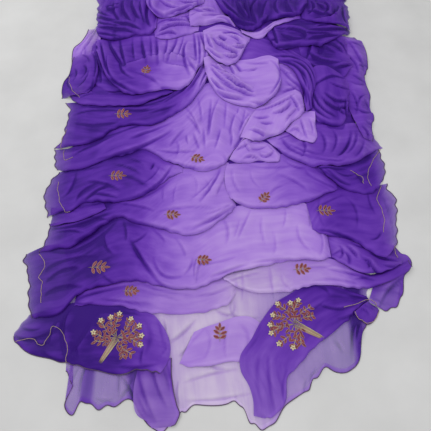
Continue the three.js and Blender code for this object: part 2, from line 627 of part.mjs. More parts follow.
// The upper bunches, which run on past the top of the view
stretch('tier_right', DYE.deep, {
  along: 14, across: 5, rise: 12,
  sections: [
    [175, 865, 215, 760], [215, 880, 241, 710], [265, 890, 285, 718], [315, 895, 331, 728],
    [360, 890, 375, 728], [405, 888, 410, 730], [450, 885, 448, 757], [500, 880, 496, 793],
    [548, 876, 540, 832],
  ],
  creases: [[248, 850, 244, 730, 26, -7], [360, 860, 380, 750, 34, 6], [430, 860, 440, 780, 26, -6]],
});
stretch('light_strip', DYE.light, {
  along: 8, across: 4, rise: 6,
  sections: [
    [100, 830, 105, 795], [150, 815, 150, 775], [195, 830, 190, 780], [235, 870, 235, 835],
    [300, 905, 295, 870], [345, 918, 345, 890],
  ],
});
stretch('bunch_right', DYE.deep, {
  along: 8, across: 6, rise: 12,
  sections: [
    [340, 1110, 350, 892], [400, 1115, 400, 868], [460, 1110, 460, 858], [515, 1095, 520, 850],
    [560, 1070, 546, 844, 556, 960],
  ],
  creases: [[430, 1060, 440, 900, 36, 8], [490, 1060, 500, 900, 30, -7]],
});
stretch('top_left_bunch', DYE.deep, {
  along: 10, across: 7, rise: 14,
  sections: [
    [-518, 1080, -488, 862, -494, 960], [-470, 1110, -461, 790], [-420, 1120, -412, 768],
    [-370, 1125, -373, 772], [-320, 1128, -319, 796], [-270, 1128, -265, 797], [-240, 1125, -236, 830],
  ],
  creases: [[-440, 1060, -420, 800, 40, 7], [-380, 1060, -350, 820, 34, -8], [-300, 1000, -300, 840, 36, 7]],
});
stretch('top_mid_bulge', DYE.light, {
  along: 12, across: 7, rise: 14,
  sections: [
    [-295, 1120, -290, 1005], [-265, 1130, -278, 943], [-230, 1134, -240, 900], [-180, 1136, -190, 895],
    [-130, 1136, -135, 920], [-85, 1132, -92, 944], [-40, 1120, -47, 979],
  ],
  creases: [[-220, 1080, -200, 930, 34, -7], [-120, 1080, -130, 950, 30, 6]],
});
stretch('top_right_bunch', DYE.deep, {
  along: 13, across: 7, rise: 14,
  sections: [
    [-30, 1110, -5, 1005], [30, 1125, 42, 899], [70, 1132, 76, 857], [108, 1134, 109, 819],
    [140, 1134, 140, 812], [175, 1134, 175, 840], [215, 1132, 215, 877], [260, 1130, 260, 884],
    [310, 1126, 312, 890], [350, 1118, 350, 920], [390, 1105, 380, 970],
  ],
  creases: [
    [60, 1080, 100, 860, 34, 8], [150, 1080, 150, 860, 36, -8], [220, 1080, 210, 900, 30, 7],
    [300, 1080, 300, 920, 36, -6],
  ],
});
stretch('top_end', DYE.mid, {
  along: 9, across: 4, rise: 6,
  sections: [
    [-520, 1070, -520, 1128], [-400, 1085, -395, 1150], [-250, 1092, -245, 1160], [-90, 1095, -90, 1164],
    [80, 1095, 80, 1164], [250, 1092, 250, 1160], [410, 1080, 415, 1148], [560, 1040, 572, 1110],
  ],
});

// The object's own frame: origin under the middle of its box, on the surface it lies on.
const box = new THREE.Box3().setFromObject(saree);
saree.position.set(-(box.min.x + box.max.x) / 2, -(box.min.y + box.max.y) / 2, -box.min.z);

export default saree;
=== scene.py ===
# The hidden layers of the heap: a few metres of georgette lying folded to and fro under the folds
# that show. They make one low mound with layered edges, dyed deep purple where it can be seen
# between the folds.
import math

import bmesh
import bpy
import numpy as np
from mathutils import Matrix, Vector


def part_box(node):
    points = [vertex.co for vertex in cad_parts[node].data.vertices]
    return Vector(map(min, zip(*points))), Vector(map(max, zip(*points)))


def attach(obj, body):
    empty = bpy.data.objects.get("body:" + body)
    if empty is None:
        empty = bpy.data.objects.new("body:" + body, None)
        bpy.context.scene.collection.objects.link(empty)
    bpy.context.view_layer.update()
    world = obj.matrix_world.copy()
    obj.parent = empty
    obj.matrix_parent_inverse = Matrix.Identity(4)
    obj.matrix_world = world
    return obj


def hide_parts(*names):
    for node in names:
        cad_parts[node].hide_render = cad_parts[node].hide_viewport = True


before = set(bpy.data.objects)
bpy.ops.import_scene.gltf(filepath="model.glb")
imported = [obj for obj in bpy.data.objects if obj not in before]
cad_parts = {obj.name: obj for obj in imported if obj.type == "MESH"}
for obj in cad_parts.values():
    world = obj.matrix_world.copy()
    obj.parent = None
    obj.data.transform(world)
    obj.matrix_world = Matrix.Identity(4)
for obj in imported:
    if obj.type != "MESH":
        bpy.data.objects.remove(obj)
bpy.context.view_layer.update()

MM = 0.001
CORE_SECTIONS = [
    # y, left, right, crown in millimetres, one row for each section across the mound
    (-250, -360, 360, 4), (-190, -430, 425, 6), (-110, -465, 478, 9), (0, -478, 500, 12),
    (150, -488, 508, 16), (300, -498, 500, 20), (450, -500, 505, 23), (600, -500, 520, 26),
    (750, -498, 525, 29), (900, -455, 498, 31), (1040, -455, 505, 29), (1130, -430, 480, 18),
]
CORE_STEPS = [
    # in from the side in millimetres, share of the crown: the layers' edges show as steps
    (0, 0.02), (3, 0.3), (14, 0.36), (17, 0.62), (38, 0.7), (44, 0.9), (110, 1),
]
CORE_DYE = 0.95              # 0 is the palest of the cloth and 1 the deepest
ROUNDED_RIM = 110            # how far in from either side the mound reaches its full height, millimetres
FAR_END_MIDDLE = 26          # where the far end's middle lies across the plan, millimetres

core_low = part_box("heap_core")[0]
far_low, far_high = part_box("top_end")
plan_to_row = (
    (far_low[0] + far_high[0]) / 2 - FAR_END_MIDDLE * MM,
    core_low[1] - CORE_SECTIONS[0][0] * MM,
)

MAP_LEFT, MAP_NEAR = -640, -660      # the map's corner in the plan, millimetres
MAP_CELL = 2.5                       # millimetres
MAP_SIZE = (750, 512)                # rows and columns
heap = np.zeros(MAP_SIZE)            # the top of the heap so far, in millimetres


def on_map(x, y):
    """The map row and column of each point."""
    column = np.clip(((x - MAP_LEFT) / MAP_CELL).astype(int), 0, heap.shape[1] - 1)
    row = np.clip(((y - MAP_NEAR) / MAP_CELL).astype(int), 0, heap.shape[0] - 1)
    return row, column


def read_map(levels, x, y):
    """The map's level at each point, smooth between its cells."""
    column = np.clip((x - MAP_LEFT) / MAP_CELL - 0.5, 0, heap.shape[1] - 1.001)
    row = np.clip((y - MAP_NEAR) / MAP_CELL - 0.5, 0, heap.shape[0] - 1.001)
    c, r = column.astype(int), row.astype(int)
    fc, fr = column - c, row - r
    near = levels[r, c] * (1 - fc) + levels[r, c + 1] * fc
    far = levels[r + 1, c] * (1 - fc) + levels[r + 1, c + 1] * fc
    return near * (1 - fr) + far * fr


def shifted(levels, rows, columns):
    """The map moved by whole cells, its rim repeated."""
    padded = np.pad(levels, ((abs(rows),) * 2, (abs(columns),) * 2), mode="edge")
    r, c = abs(rows) + rows, abs(columns) + columns
    return padded[r:r + levels.shape[0], c:c + levels.shape[1]]


def highest_around(levels, reach):
    """The highest level within reach cells, across and then along."""
    best = levels
    for step in range(1, reach + 1):
        best = np.maximum(best, np.maximum(shifted(levels, 0, step), shifted(levels, 0, -step)))
    wide = best
    for step in range(1, reach + 1):
        best = np.maximum(best, np.maximum(shifted(wide, step, 0), shifted(wide, -step, 0)))
    return best


def softened(levels, reach, rounds=2):
    """The mean level within reach cells, taken a few times for a smooth one."""
    for _ in range(rounds):
        for axis in (0, 1):
            total = levels.copy()
            for step in range(1, reach + 1):
                ways = ((step, 0), (-step, 0)) if axis == 0 else ((0, step), (0, -step))
                for way in ways:
                    total = total + shifted(levels, *way)
            levels = total / (2 * reach + 1)
    return levels


def add_to_heap(x, y, z):
    """Raises the map to a grid of points, filled in between them."""
    for a in (0, 1 / 3, 2 / 3, 1):
        for b in (0, 1 / 3, 2 / 3, 1):
            mix = [
                p[:-1, :-1] * (1 - a) * (1 - b) + p[1:, :-1] * a * (1 - b)
                + p[:-1, 1:] * (1 - a) * b + p[1:, 1:] * a * b for p in (x, y, z)
            ]
            np.maximum.at(heap, on_map(mix[0], mix[1]), mix[2])


def through(values, t):
    """A smooth line through a list of values, t from 0 to 1 over the list."""
    values = np.asarray(values, dtype=float)
    place = np.clip(t * (len(values) - 1), 0, len(values) - 1.000001)
    index = place.astype(int)
    f = place - index
    p0, p1, p2, p3 = (values[np.clip(index + k, 0, len(values) - 1)] for k in (-1, 0, 1, 2))
    return 0.5 * (
        2 * p1 + (p2 - p0) * f + (2 * p0 - 5 * p1 + 4 * p2 - p3) * f ** 2
        + (3 * p1 - p0 - 3 * p2 + p3) * f ** 3
    )


def cloth_mesh(name, x, y, z, marks):
    """A grid of cloth at plan points in millimetres, with its marks kept on its points."""
    along, across = x.shape[0] - 1, x.shape[1] - 1
    side_x, side_y = x[-1, 0] - x[0, 0], y[-1, 0] - y[0, 0]
    facing = side_x * (y[-1, -1] - y[0, 0]) - side_y * (x[-1, -1] - x[0, 0])
    body = bmesh.new()
    bmesh.ops.create_grid(body, x_segments=along, y_segments=across, size=1)
    mesh = bpy.data.meshes.new(name)
    body.to_mesh(mesh)
    body.free()
    place = np.empty(len(mesh.vertices) * 3)
    mesh.vertices.foreach_get("co", place)
    place = place.reshape(-1, 3)
    i = np.rint((place[:, 0] + 1) / 2 * along).astype(int)
    j = np.rint((place[:, 1] + 1) / 2 * across).astype(int)
    if facing < 0:
        j = across - j
    place[:, 0] = x[i, j] * MM + plan_to_row[0]
    place[:, 1] = y[i, j] * MM + plan_to_row[1]
    place[:, 2] = z[i, j] * MM
    mesh.vertices.foreach_set("co", place.ravel())
    for mark, values in marks.items():
        layer = mesh.attributes.new(mark, "FLOAT", "POINT")
        layer.data.foreach_set("value", values[i, j].astype(np.float32))
    mesh.polygons.foreach_set("use_smooth", np.ones(len(mesh.polygons), dtype=bool))
    mesh.update()
    piece = bpy.data.objects.new(name, mesh)
    bpy.context.collection.objects.link(piece)
    return piece


class Wire:
    """A socket in a material, on which plain arithmetic adds the nodes that it needs."""

    def __init__(self, tree, socket=None):
        self.tree = tree
        self.socket = socket

    def node(self, kind, settings=None, inputs=None, out=0):
        made = self.tree.nodes.new(kind)
        for key, value in (settings or {}).items():
            if key == "stops":
                ramp = made.color_ramp.elements
                while len(ramp) < len(value):
                    ramp.new(1.0)
                for stop, (position, colour) in zip(ramp, value):
                    stop.position = position
                    stop.color = colour
            else:
                setattr(made, key, value)
        for key, value in (inputs or {}).items():
            if isinstance(value, Wire):
                self.tree.links.new(value.socket, made.inputs[key])
            else:
                made.inputs[key].default_value = value
        return Wire(self.tree, made.outputs[out])

    def maths(self, operation, a, b):
        return self.node("ShaderNodeMath", {"operation": operation}, {0: a, 1: b})

    def __add__(self, other):
        return self.maths("ADD", self, other)

    def __sub__(self, other):
        return self.maths("SUBTRACT", self, other)

    def __rsub__(self, other):
        return self.maths("SUBTRACT", other, self)

    def __mul__(self, other):
        return self.maths("MULTIPLY", self, other)

    __radd__ = __add__
    __rmul__ = __mul__


def srgb(red, green, blue):
    """A colour as a painter mixes it on screen, 0 to 255, in the shader's linear values."""
    parts = [c / 255 for c in (red, green, blue)]
    return tuple(p / 12.92 if p <= 0.04045 else ((p + 0.055) / 1.055) ** 2.4 for p in parts) + (1.0,)


def start_material(name):
    """A new material, its node tree, its shader and a wire to build on."""
    material = bpy.data.materials.new(name)
    material.use_nodes = True
    tree = material.node_tree
    shader = tree.nodes["Principled BSDF"]
    return material, tree, shader, Wire(tree)


def georgette_finish():
    """Crepe georgette: dye from palest to deepest, with painted shade in its hollows and crease troughs and
    painted highlight on its crests, crinkled grain, and a see-through single layer.
    """
    material, tree, shader, wire = start_material("georgette")
    dye, hollow, opacity, crevice, run, cross = (
        wire.node("ShaderNodeAttribute", {"attribute_name": mark}, out=2)
        for mark in ("dye", "hollow", "opacity", "crevice", "run", "cross"))
    place = wire.node("ShaderNodeTexCoord", out=3)
    cloud = wire.node("ShaderNodeTexNoise", None, {"Vector": place, "Scale": 14.0, "Detail": 3.0})
    thread_way = wire.node("ShaderNodeCombineXYZ", None, {"X": run * 6.0, "Y": cross * 46.0, "Z": dye * 9.0})
    streak = wire.node("ShaderNodeTexNoise", None, {"Vector": thread_way, "Scale": 1.0, "Detail": 3.0})
    # The colour's depth is the dye with random tone, plus painted shade in hollows and crease troughs and
    # painted highlight on crests.
    depth = dye + (cloud - 0.5) * 0.16 + (streak - 0.5) * 0.24 + hollow * 0.09 + crevice * 0.18
    colour = wire.node("ShaderNodeValToRGB", {"stops": [
        (0.0, srgb(222, 204, 234)), (0.22, srgb(190, 158, 224)), (0.42, srgb(164, 124, 212)),
        (0.6, srgb(134, 90, 194)), (0.75, srgb(106, 58, 174)), (0.9, srgb(80, 34, 150)),
        (1.0, srgb(52, 14, 116)),
    ]}, {"Fac": depth})
    crinkle = wire.node("ShaderNodeTexNoise", None, {"Vector": place, "Scale": 180.0, "Detail": 2.0})
    grain = wire.node("ShaderNodeTexNoise", None, {"Vector": place, "Scale": 1400.0, "Detail": 1.0})
    bump = wire.node("ShaderNodeBump", None, {
        "Strength": 0.35, "Distance": 0.0008, "Height": crinkle * 0.8 + grain * 0.3})
    for key, value in {"Base Color": colour, "Normal": bump, "Alpha": opacity}.items():
        tree.links.new(value.socket, shader.inputs[key])
    shader.inputs["Roughness"].default_value = 0.62
    shader.inputs["Specular IOR Level"].default_value = 0.12
    return material


georgette = georgette_finish()
cloth_pieces = {}            # by name: piece, x, y, z of every stretch


def place_cloth(piece, node, material):
    """Gives a stretch its material, hangs it on the root and hides the part that it stands for."""
    piece.data.materials.append(material)
    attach(piece, "root")
    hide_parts(node)


core_t = np.linspace(0, 1, 140)
core_y, core_left, core_right, core_crown = (
    through([row[k] for row in CORE_SECTIONS], core_t) for k in range(4))
core_level = core_right - core_left - 2 * ROUNDED_RIM
core_columns = [(core_left + inset, core_crown * share) for inset, share in CORE_STEPS]
core_columns += [
    (core_left + ROUNDED_RIM + core_level * share, core_crown) for share in np.linspace(0.04, 0.96, 24)]
core_columns += [(core_right - inset, core_crown * share) for inset, share in reversed(CORE_STEPS)]
core_x = np.stack([column[0] for column in core_columns], axis=1)
core_z = np.stack([column[1] for column in core_columns], axis=1)
core_yy = np.repeat(core_y[:, None], core_x.shape[1], axis=1)
add_to_heap(core_x, core_yy, core_z)
heap_core = cloth_mesh("heap_core_cloth", core_x, core_yy, core_z, {
    "dye": np.full(core_x.shape, CORE_DYE), "opacity": np.ones(core_x.shape),
    "crevice": np.zeros(core_x.shape), "hollow": np.zeros(core_x.shape),
    "run": core_x * MM, "cross": core_yy * MM})
place_cloth(heap_core, "heap_core", georgette)


# The pallu end: one sheer layer of georgette spread on the floor, its hem overlocked so that the
# edge ruffles. The helpers here lay this and every later stretch over what already lies there.
SPACING = 4.0                # between the cloth's points, millimetres
LAYER_GAP = 0.9              # from one layer up to the next, millimetres
LIP_REACH = 12               # how far behind a fold's edge it rolls under, millimetres
SINK_BACK = 60               # how fast a stretch sinks behind its fold, millimetres
END_REACH = 34               # how far in from its ends a stretch comes down, millimetres
EASE = 1.06                  # cloth taken up by a stretch's folds
FOLD_BAND = 12               # the depth of the doubled cloth along a fold, millimetres
FOLD_STANDS = 0.7            # share of a stretch's rise that its soft fold keeps
GATHERS_STAND = 0.6          # share of the gathers' height that is left once the cloth has settled
FLOOR_RUFFLE = 2.6           # how much more an edge wanders where it lies on the floor
FRILL_HEIGHT = 4.5           # how high the overlocked edge stands in its frills, millimetres
SELVEDGE_FROM = 400          # how far out from the middle the selvedges begin to flutter, millimetres
CURVE_STEPS = 12             # straight steps in a crease
MEASURED_STEPS = 60          # places along a stretch where its length is measured
FEWEST_STEPS = 8             # in the grid of a small stretch, each way
CLOSER_AT_FOLD = 1.15        # above 1, the grid is closer at the fold's edge
MANY_LAYERS_OPACITY = 0.98
SETTLE_REACHES = (16, 8, 4, 2, 1)    # grid steps that the cloth bridges, from broad to narrow
SETTLE_ROUNDS = 14


def ease_in(start, end, x):
    """0 before the start and 1 past the end, with a smooth rise between them."""
    t = np.clip((x - start) / (end - start), 0, 1)
    return t * t * (3 - 2 * t)


def add_crease(x, y, form, crevice, width, height, *path):
    """A fold's edge along a curve over three plan points: it swells on the left of the way the curve runs
    and drops sharply on the right. A height below 0 makes a soft trough. The trough is also marked as
    painted crease shade, which darkens the cloth's colour there."""
    ends = np.array(path, dtype=float).reshape(3, 2)
    low, high = ends.min(axis=0) - 3 * width, ends.max(axis=0) + 3 * width
    near = (x > low[0]) & (x < high[0]) & (y > low[1]) & (y < high[1])
    px, py = x[near], y[near]
    t = np.linspace(0, 1, CURVE_STEPS + 1)[:, None]
    bend = 2 * ends[1] - (ends[0] + ends[2]) / 2
    curve = ends[0] * (1 - t) ** 2 + 2 * bend * t * (1 - t) + ends[2] * t ** 2
    nearest, left, place = np.full(px.shape, 1e6), np.zeros(px.shape), np.zeros(px.shape)
    for k in range(CURVE_STEPS):
        step = curve[k + 1] - curve[k]
        along = ((px - curve[k, 0]) * step[0] + (py - curve[k, 1]) * step[1]) / (step @ step)
        along = np.clip(along, 0, 1)
        dx, dy = px - curve[k, 0] - along * step[0], py - curve[k, 1] - along * step[1]
        closer = np.hypot(dx, dy) < nearest
        nearest = np.where(closer, np.hypot(dx, dy), nearest)
        left = np.where(closer, step[0] * dy - step[1] * dx, left)
        place = np.where(closer, (k + along) / CURVE_STEPS, place)
    fade = np.sin(np.pi * np.clip(place, 0, 1)) ** 0.6
    if height < 0:
        swell = height * np.exp(-(nearest / (width / 2)) ** 2)
        drop = np.exp(-(nearest / (width / 2.4)) ** 2)
    else:
        crest = np.exp(-(nearest / np.where(left > 0, 1.35 * width, 0.25 * width)) ** 2)
        trough = np.where(left > 0, 0, np.exp(-((nearest - 0.45 * width) / (0.3 * width)) ** 2))
        swell = height * (crest - 0.5 * trough)
        drop = trough
    form[near] += swell * fade
    # Painted shade: the trough beside the fold's edge, or the soft trough itself, is darkened in the cloth's
    # colour, standing in for the shade that falls in it.
    darkest = 1.2 if height > 0 else 2.4
    crevice[near] = np.maximum(crevice[near], drop * fade * min(abs(height) / 8, darkest))


def gather_height(along, across, spacing, height, seed):
    """Fine gathers that run along the cloth, wandering and of uneven depth."""
    draw = np.random.default_rng(seed)
    turn = draw.uniform(0, 2 * np.pi, 8)
    wander = (
        0.9 * np.sin(along / 210 + turn[0]) + 0.5 * np.sin(along / 95 + across / 160 + turn[1])
        + 0.25 * np.sin(along / 47 + across / 60 + turn[2]))
    wave = np.abs(np.sin(np.pi * (across / spacing + wander))) ** 0.7
    swing = np.sin(along / 83 + across / 70 + turn[3]) * np.sin(along / 150 - across / 45 + turn[4])
    depth = 0.55 + 0.45 * swing
    small = 0.3 * np.sin(along / 23 + turn[5]) * np.sin(across / 13 + along / 60 + turn[6])
    return height * ((wave - 0.6) * depth + small)


def unevenness(x, y, turn):
    """Broad soft rises and dips, as loose cloth has them everywhere."""
    broad = np.sin(x / 31 + turn + 1.3 * np.sin(y / 47)) * np.sin(y / 26 + turn + 0.9 * np.sin(x / 39))
    small = np.sin(x / 13 + y / 21 + np.sin(y / 17) + turn) * np.sin(y / 15 - x / 29)
    return 1.8 * broad + 0.8 * small


def settled(bed):
    """Cloth drawn tight over a bed, so that it bridges what is low."""
    z = bed.copy()
    for reach in SETTLE_REACHES:
        if min(bed.shape) <= 2 * reach:
            continue
        for _ in range(SETTLE_ROUNDS):
            rows_near = shifted(z, reach, 0) + shifted(z, -reach, 0)
            mean = (rows_near + shifted(z, 0, reach) + shifted(z, 0, -reach)) / 4
            mean[0], mean[-1], mean[:, 0], mean[:, -1] = bed[0], bed[-1], bed[:, 0], bed[:, -1]
            z = np.maximum(bed, mean)
    return z


def stretch_grid(sections):
    """A stretch's plan as a grid of points. Along it u runs from 0 to 1, and across it v runs from its
    hidden upper edge to its lower fold edge. A section that doesn't bow has its middle halfway."""
    rows = np.array([
        row if len(row) == 6 else (*row, (row[0] + row[2]) / 2, (row[1] + row[3]) / 2)
        for row in sections], dtype=float)
    middle = np.stack([through(rows[:, k], np.linspace(0, 1, MEASURED_STEPS)) for k in (4, 5)])
    length = np.hypot(*np.diff(middle)).sum()
    depth = np.hypot(rows[:, 0] - rows[:, 2], rows[:, 1] - rows[:, 3]).mean()
    along = max(FEWEST_STEPS, round(length / SPACING))
    across = max(FEWEST_STEPS, round(depth / SPACING))
    u = np.repeat(np.linspace(0, 1, along + 1)[:, None], across + 1, axis=1)
    share = np.repeat(np.linspace(0, 1, across + 1)[None, :], along + 1, axis=0)
    v = 1 - (1 - share) ** CLOSER_AT_FOLD
    back, bow, front = (1 - v) * (1 - 2 * v), 4 * v * (1 - v), v * (2 * v - 1)
    column = [through(rows[:, k], u) for k in range(6)]
    x = column[0] * back + column[4] * bow + column[2] * front
    y = column[1] * back + column[5] * bow + column[3] * front
    depth_here = np.hypot(column[0] - column[2], column[1] - column[3])
    return x, y, u, v, depth_here, length, depth


def wander_edges(x, y, u, behind, from_end, length, turn, ruffled):
    """Flutters the ends that lie out at the selvedges, and lets the fold's edge wander. The frill is
    the short wave of an overlocked edge."""
    broad_flutter = 5 * np.sin(behind / 19 + turn + np.sin(behind / 33))
    flutter = broad_flutter + 4.2 * np.sin(behind / 7.0 + 2 * turn) * np.sin(behind / 29 + turn)
    outer_end = np.exp(-from_end / 30) * ease_in(SELVEDGE_FROM, SELVEDGE_FROM + 60, np.abs(x))
    frill = np.sin(u * length / 8 + 2.2 * np.sin(u * length / 31))
    ripple = 2.2 * np.sin(u * length / 27 + turn) + 1.7 * frill
    x = x + flutter * np.where(u < 0.5, 1, -1) * outer_end
    return x, y + ruffled * ripple * np.exp(-behind / 25), frill


def dyed(shades, u, x, behind, from_end, sheer_edge):
    """The dye and the opacity along a stretch. Its fold is doubled cloth, more layers lie below it
    behind a sheer edge, and its outermost ends are thinner and paler."""
    stops = np.array(shades, dtype=float)
    dye = np.interp(u, stops[:, 0], stops[:, 1])
    opacity = np.interp(u, stops[:, 0], stops[:, 2])
    doubled = ease_in(FOLD_BAND, 0.6 * FOLD_BAND, behind)
    opacity = opacity + (1 - opacity) * 0.5 * doubled
    if sheer_edge:
        many_layers = ease_in(0.5 * sheer_edge, 1.6 * sheer_edge, behind)
        opacity = opacity + (MANY_LAYERS_OPACITY - opacity) * many_layers
    outermost = ease_in(430, 500, np.abs(x)) * np.exp(-from_end / 22)
    return dye - 0.12 * outermost, opacity * (1 - 0.4 * outermost)


def lay(name, rise, gathers, shades, sections, creases=(), across_gathers=False,
        rests_on=("heap_core_cloth",), folded=1.0, sheer_edge=0):
    """Lays one stretch between its hidden upper edge and its lower fold edge, over the heap so far.
    Each section is backX, backY, frontX, frontY and, where it bows, middleX, middleY. Its creases
    stand folded times as high as their own rows say."""
    x, y, u, v, depth_here, length, depth = stretch_grid(sections)
    behind, from_end = (1 - v) * depth_here, np.minimum(u, 1 - u) * length
    turn = gathers[2]
    on_floor = rests_on == ("floor",)
    ruffled = FLOOR_RUFFLE if on_floor else 1.0
    x, y, frill = wander_edges(x, y, u, behind, from_end, length, turn, ruffled)
    bed = read_map(softened(highest_around(heap, 3), 2), x, y) + LAYER_GAP
    lip = np.sqrt(np.clip(1 - np.clip(1 - behind / LIP_REACH, 0, 1) ** 2, 0, 1))
    profile = ease_in(0.0, 0.4, v) * lip
    ends = ease_in(-0.2 * END_REACH, END_REACH, from_end) * ease_in(0, 6, from_end)
    run, cross = (v * depth_here, u * length) if across_gathers else (u * length, v * depth_here)
    sunk = 0.62 + 0.38 * np.exp(-behind / SINK_BACK)
    form = FOLD_STANDS * rise * sunk + GATHERS_STAND * gather_height(run, cross, *gathers)
    form = form + unevenness(x, y, turn)
    if on_floor:
        form = form + FRILL_HEIGHT * np.maximum(0, frill) * np.exp(-behind / 15)
    # painted shade for the creases' troughs, kept on the cloth's points
    crevice = np.zeros(x.shape)
    for width, height, *path in creases:
        add_crease(x, y, form, crevice, width, height * folded, *path)
    z = np.maximum(bed, settled(bed) + form * profile * ends)
    add_to_heap(x, y, z)
    dye, opacity = dyed(shades, u, x, behind, from_end, sheer_edge)
    piece = cloth_mesh(name + "_cloth", x, y, z, {
        "dye": dye, "opacity": opacity, "crevice": crevice, "hollow": np.zeros(x.shape),
        "run": run * MM, "cross": cross * MM + turn})
    flat = (length * MM * EASE, depth * MM * EASE)
    place_cloth(piece, name, georgette)
    cloth_pieces[name] = (piece, x, y, z)


lay(
    "hem_sheet", rise=2, gathers=(34, 2.0, 11),
    shades=[
        (0, 0.66, 0.5), (0.1, 0.6, 0.5), (0.135, 0.6, 0.55), (0.147, 0.84, 0.76), (0.168, 0.82, 0.76),
        (0.18, 0.58, 0.52), (0.245, 0.56, 0.55), (0.262, 0.84, 0.8), (0.295, 0.8, 0.76),
        (0.315, 0.56, 0.6), (0.38, 0.16, 0.6), (0.5, 0.04, 0.68), (0.62, 0.14, 0.62), (0.74, 0.5, 0.55),
        (0.85, 0.62, 0.5), (0.905, 0.66, 0.52), (0.922, 0.95, 0.9), (0.965, 0.95, 0.9), (0.982, 0.7, 0.6),
        (1, 0.66, 0.5),
    ],
    sections=[
        (-440, -210, -402, -470), (-415, -212, -378, -512), (-390, -215, -392, -560),
        (-370, -218, -368, -588), (-350, -220, -348, -545), (-325, -222, -309, -562),
        (-297, -224, -264, -562), (-265, -226, -218, -555), (-240, -230, -190, -582),
        (-205, -227, -161, -612), (-175, -223, -120, -610), (-150, -220, -90, -585),
        (-115, -220, -62, -570), (-75, -220, -30, -554), (-35, -220, 30, -551), (10, -220, 62, -556),
        (50, -220, 90, -605), (85, -220, 120, -616), (115, -220, 150, -600), (150, -220, 182, -552),
        (190, -220, 236, -534), (225, -223, 262, -502), (265, -226, 303, -465), (302, -215, 340, -478),
        (342, -185, 362, -472), (382, -150, 394, -444), (424, -130, 404, -395), (466, -135, 430, -330),
    ],
    creases=[
        (12, 4, -345, -465, -352, -500, -352, -542), (10, 3, -362, -460, -372, -490, -378, -512),
        (10, 4, -252, -478, -250, -510, -246, -545), (12, 6, -246, -488, -224, -515, -205, -548),
        (10, 4, -255, -545, -236, -520, -224, -492), (10, 3, -312, -538, -290, -545, -268, -542),
        (12, 3, -90, -502, -10, -478, 62, -466), (10, 3, -82, -545, 10, -541, 95, -526),
        (10, 4, -95, -500, -97, -530, -90, -560), (12, 4, 262, -500, 285, -482, 302, -460),
        (10, 4, 328, -384, 342, -408, 356, -432), (12, 6, 398, -350, 384, -385, 374, -455),
        (10, 4, 412, -345, 398, -372, 392, -400), (10, 3, 226, -535, 232, -510, 240, -495),
        (12, 4, -4, -300, 40, -318, 48, -282), (12, 4, 50, -282, 62, -326, 132, -322),
        (10, 4, 74, -198, 82, -240, 80, -286), (10, 3, 165, -236, 171, -262, 170, -284),
        (10, 3, 82, -246, 120, -250, 160, -254), (10, 3, -40, -290, -60, -310, -130, -318),
        (12, 3, -148, -330, -135, -362, -146, -392), (10, -3, -20, -452, 0, -468, 30, -470),
        (14, 4, -128, -392, -96, -372, -58, -330), (12, 3, -104, -432, -80, -412, -70, -380),
        (10, 3, 276, -470, 262, -486, 250, -505), (10, 3, -210, -560, -190, -572, -172, -570),
    ],
    across_gathers=True, folded=1.6, rests_on=("floor",),
)


# A loose fold of the pallu end that runs down to the hem at the left. Georgette, unpressed. Two or
# three rolled folds run its whole length, held by nothing but their own weight.
lay(
    "leg_left", rise=7, gathers=(34, 1.6, 12),
    shades=[(0, 0.68, 0.74), (0.5, 0.58, 0.7), (1, 0.54, 0.7)],
    sections=[
        (-205, -440, -120, -440), (-210, -480, -118, -485), (-214, -520, -112, -520),
        (-212, -560, -100, -560), (-200, -585, -92, -580), (-172, -600, -100, -598),
        (-162, -614, -112, -611),
    ],
    creases=[
        (16, 7, -204, -452, -186, -520, -146, -600), (14, 6, -166, -450, -152, -505, -120, -566),
        (12, 5, -126, -454, -112, -500, -98, -546), (12, 4, -200, -530, -182, -566, -156, -594),
        (10, -4, -140, -470, -128, -498, -120, -530),
    ],
    across_gathers=True, rests_on=("hem_sheet_cloth",),
)


# The plain middle of the pallu end, doubled where it shows. Georgette in the palest dye. It is
# folded back under its upper edge and lies loose on the single layer of the hem.
lay(
    "mid_panel", rise=5, gathers=(40, 1.6, 13),
    shades=[(0, 0.4, 0.92), (1, 0.33, 0.86)],
    sections=[
        (-60, -372, -98, -458), (-30, -358, -60, -468), (10, -345, -20, -462), (55, -330, 25, -452),
        (97, -329, 60, -450), (126, -346, 80, -448),
    ],
    creases=[
        (14, 3, -92, -425, -60, -385, -28, -352), (12, 3, 40, -345, 30, -400, 34, -440),
        (12, 3, -30, -350, -10, -400, -30, -450), (12, -3, 60, -345, 90, -380, 80, -430),
        (12, 3, -80, -470, -20, -462, 40, -458),
    ],
    rests_on=("hem_sheet_cloth",),
)


# The left corner of the pallu end, turned over onto the hem. Georgette dyed deep purple. It is
# folded up from the hem and pressed by hand, with the embroidered tree laid uppermost.
lay(
    "corner_left", rise=7, gathers=(44, 1.8, 14),
    shades=[(0, 0.84, 0.8), (0.2, 0.98, 0.92), (0.5, 1.02, 0.98), (0.75, 0.9, 0.97), (1, 0.7, 0.9)],
    sections=[
        (-528, -322, -568, -385), (-500, -312, -549, -404), (-470, -303, -505, -427),
        (-440, -293, -452, -444), (-405, -286, -405, -456), (-360, -282, -361, -464),
        (-315, -281, -298, -477), (-270, -288, -242, -483), (-235, -300, -208, -474),
        (-200, -312, -172, -477), (-172, -325, -147, -479, -124, -408),
    ],
    creases=[
        (14, 6, -562, -372, -505, -386, -430, -352), (12, 5, -440, -338, -452, -372, -456, -408),
        (16, 8, -392, -296, -420, -340, -400, -440), (14, 6, -340, -346, -368, -400, -392, -446),
        (10, 5, -500, -385, -478, -404, -462, -388), (12, 4, -190, -415, -196, -440, -192, -466),
        (12, 4, -160, -335, -142, -380, -132, -420), (14, 4, -330, -300, -250, -312, -170, -322),
        (14, -3, -210, -330, -180, -380, -195, -440), (10, 4, -545, -352, -520, -362, -490, -358),
        (12, 4, -470, -420, -440, -440, -400, -448), (12, 4, -260, -460, -200, -462, -150, -452),
        (12, -4, -404, -400, -380, -430, -390, -456), (10, 4, -150, -392, -130, -410, -150, -446),
    ],
    rests_on=("hem_sheet_cloth",),
)


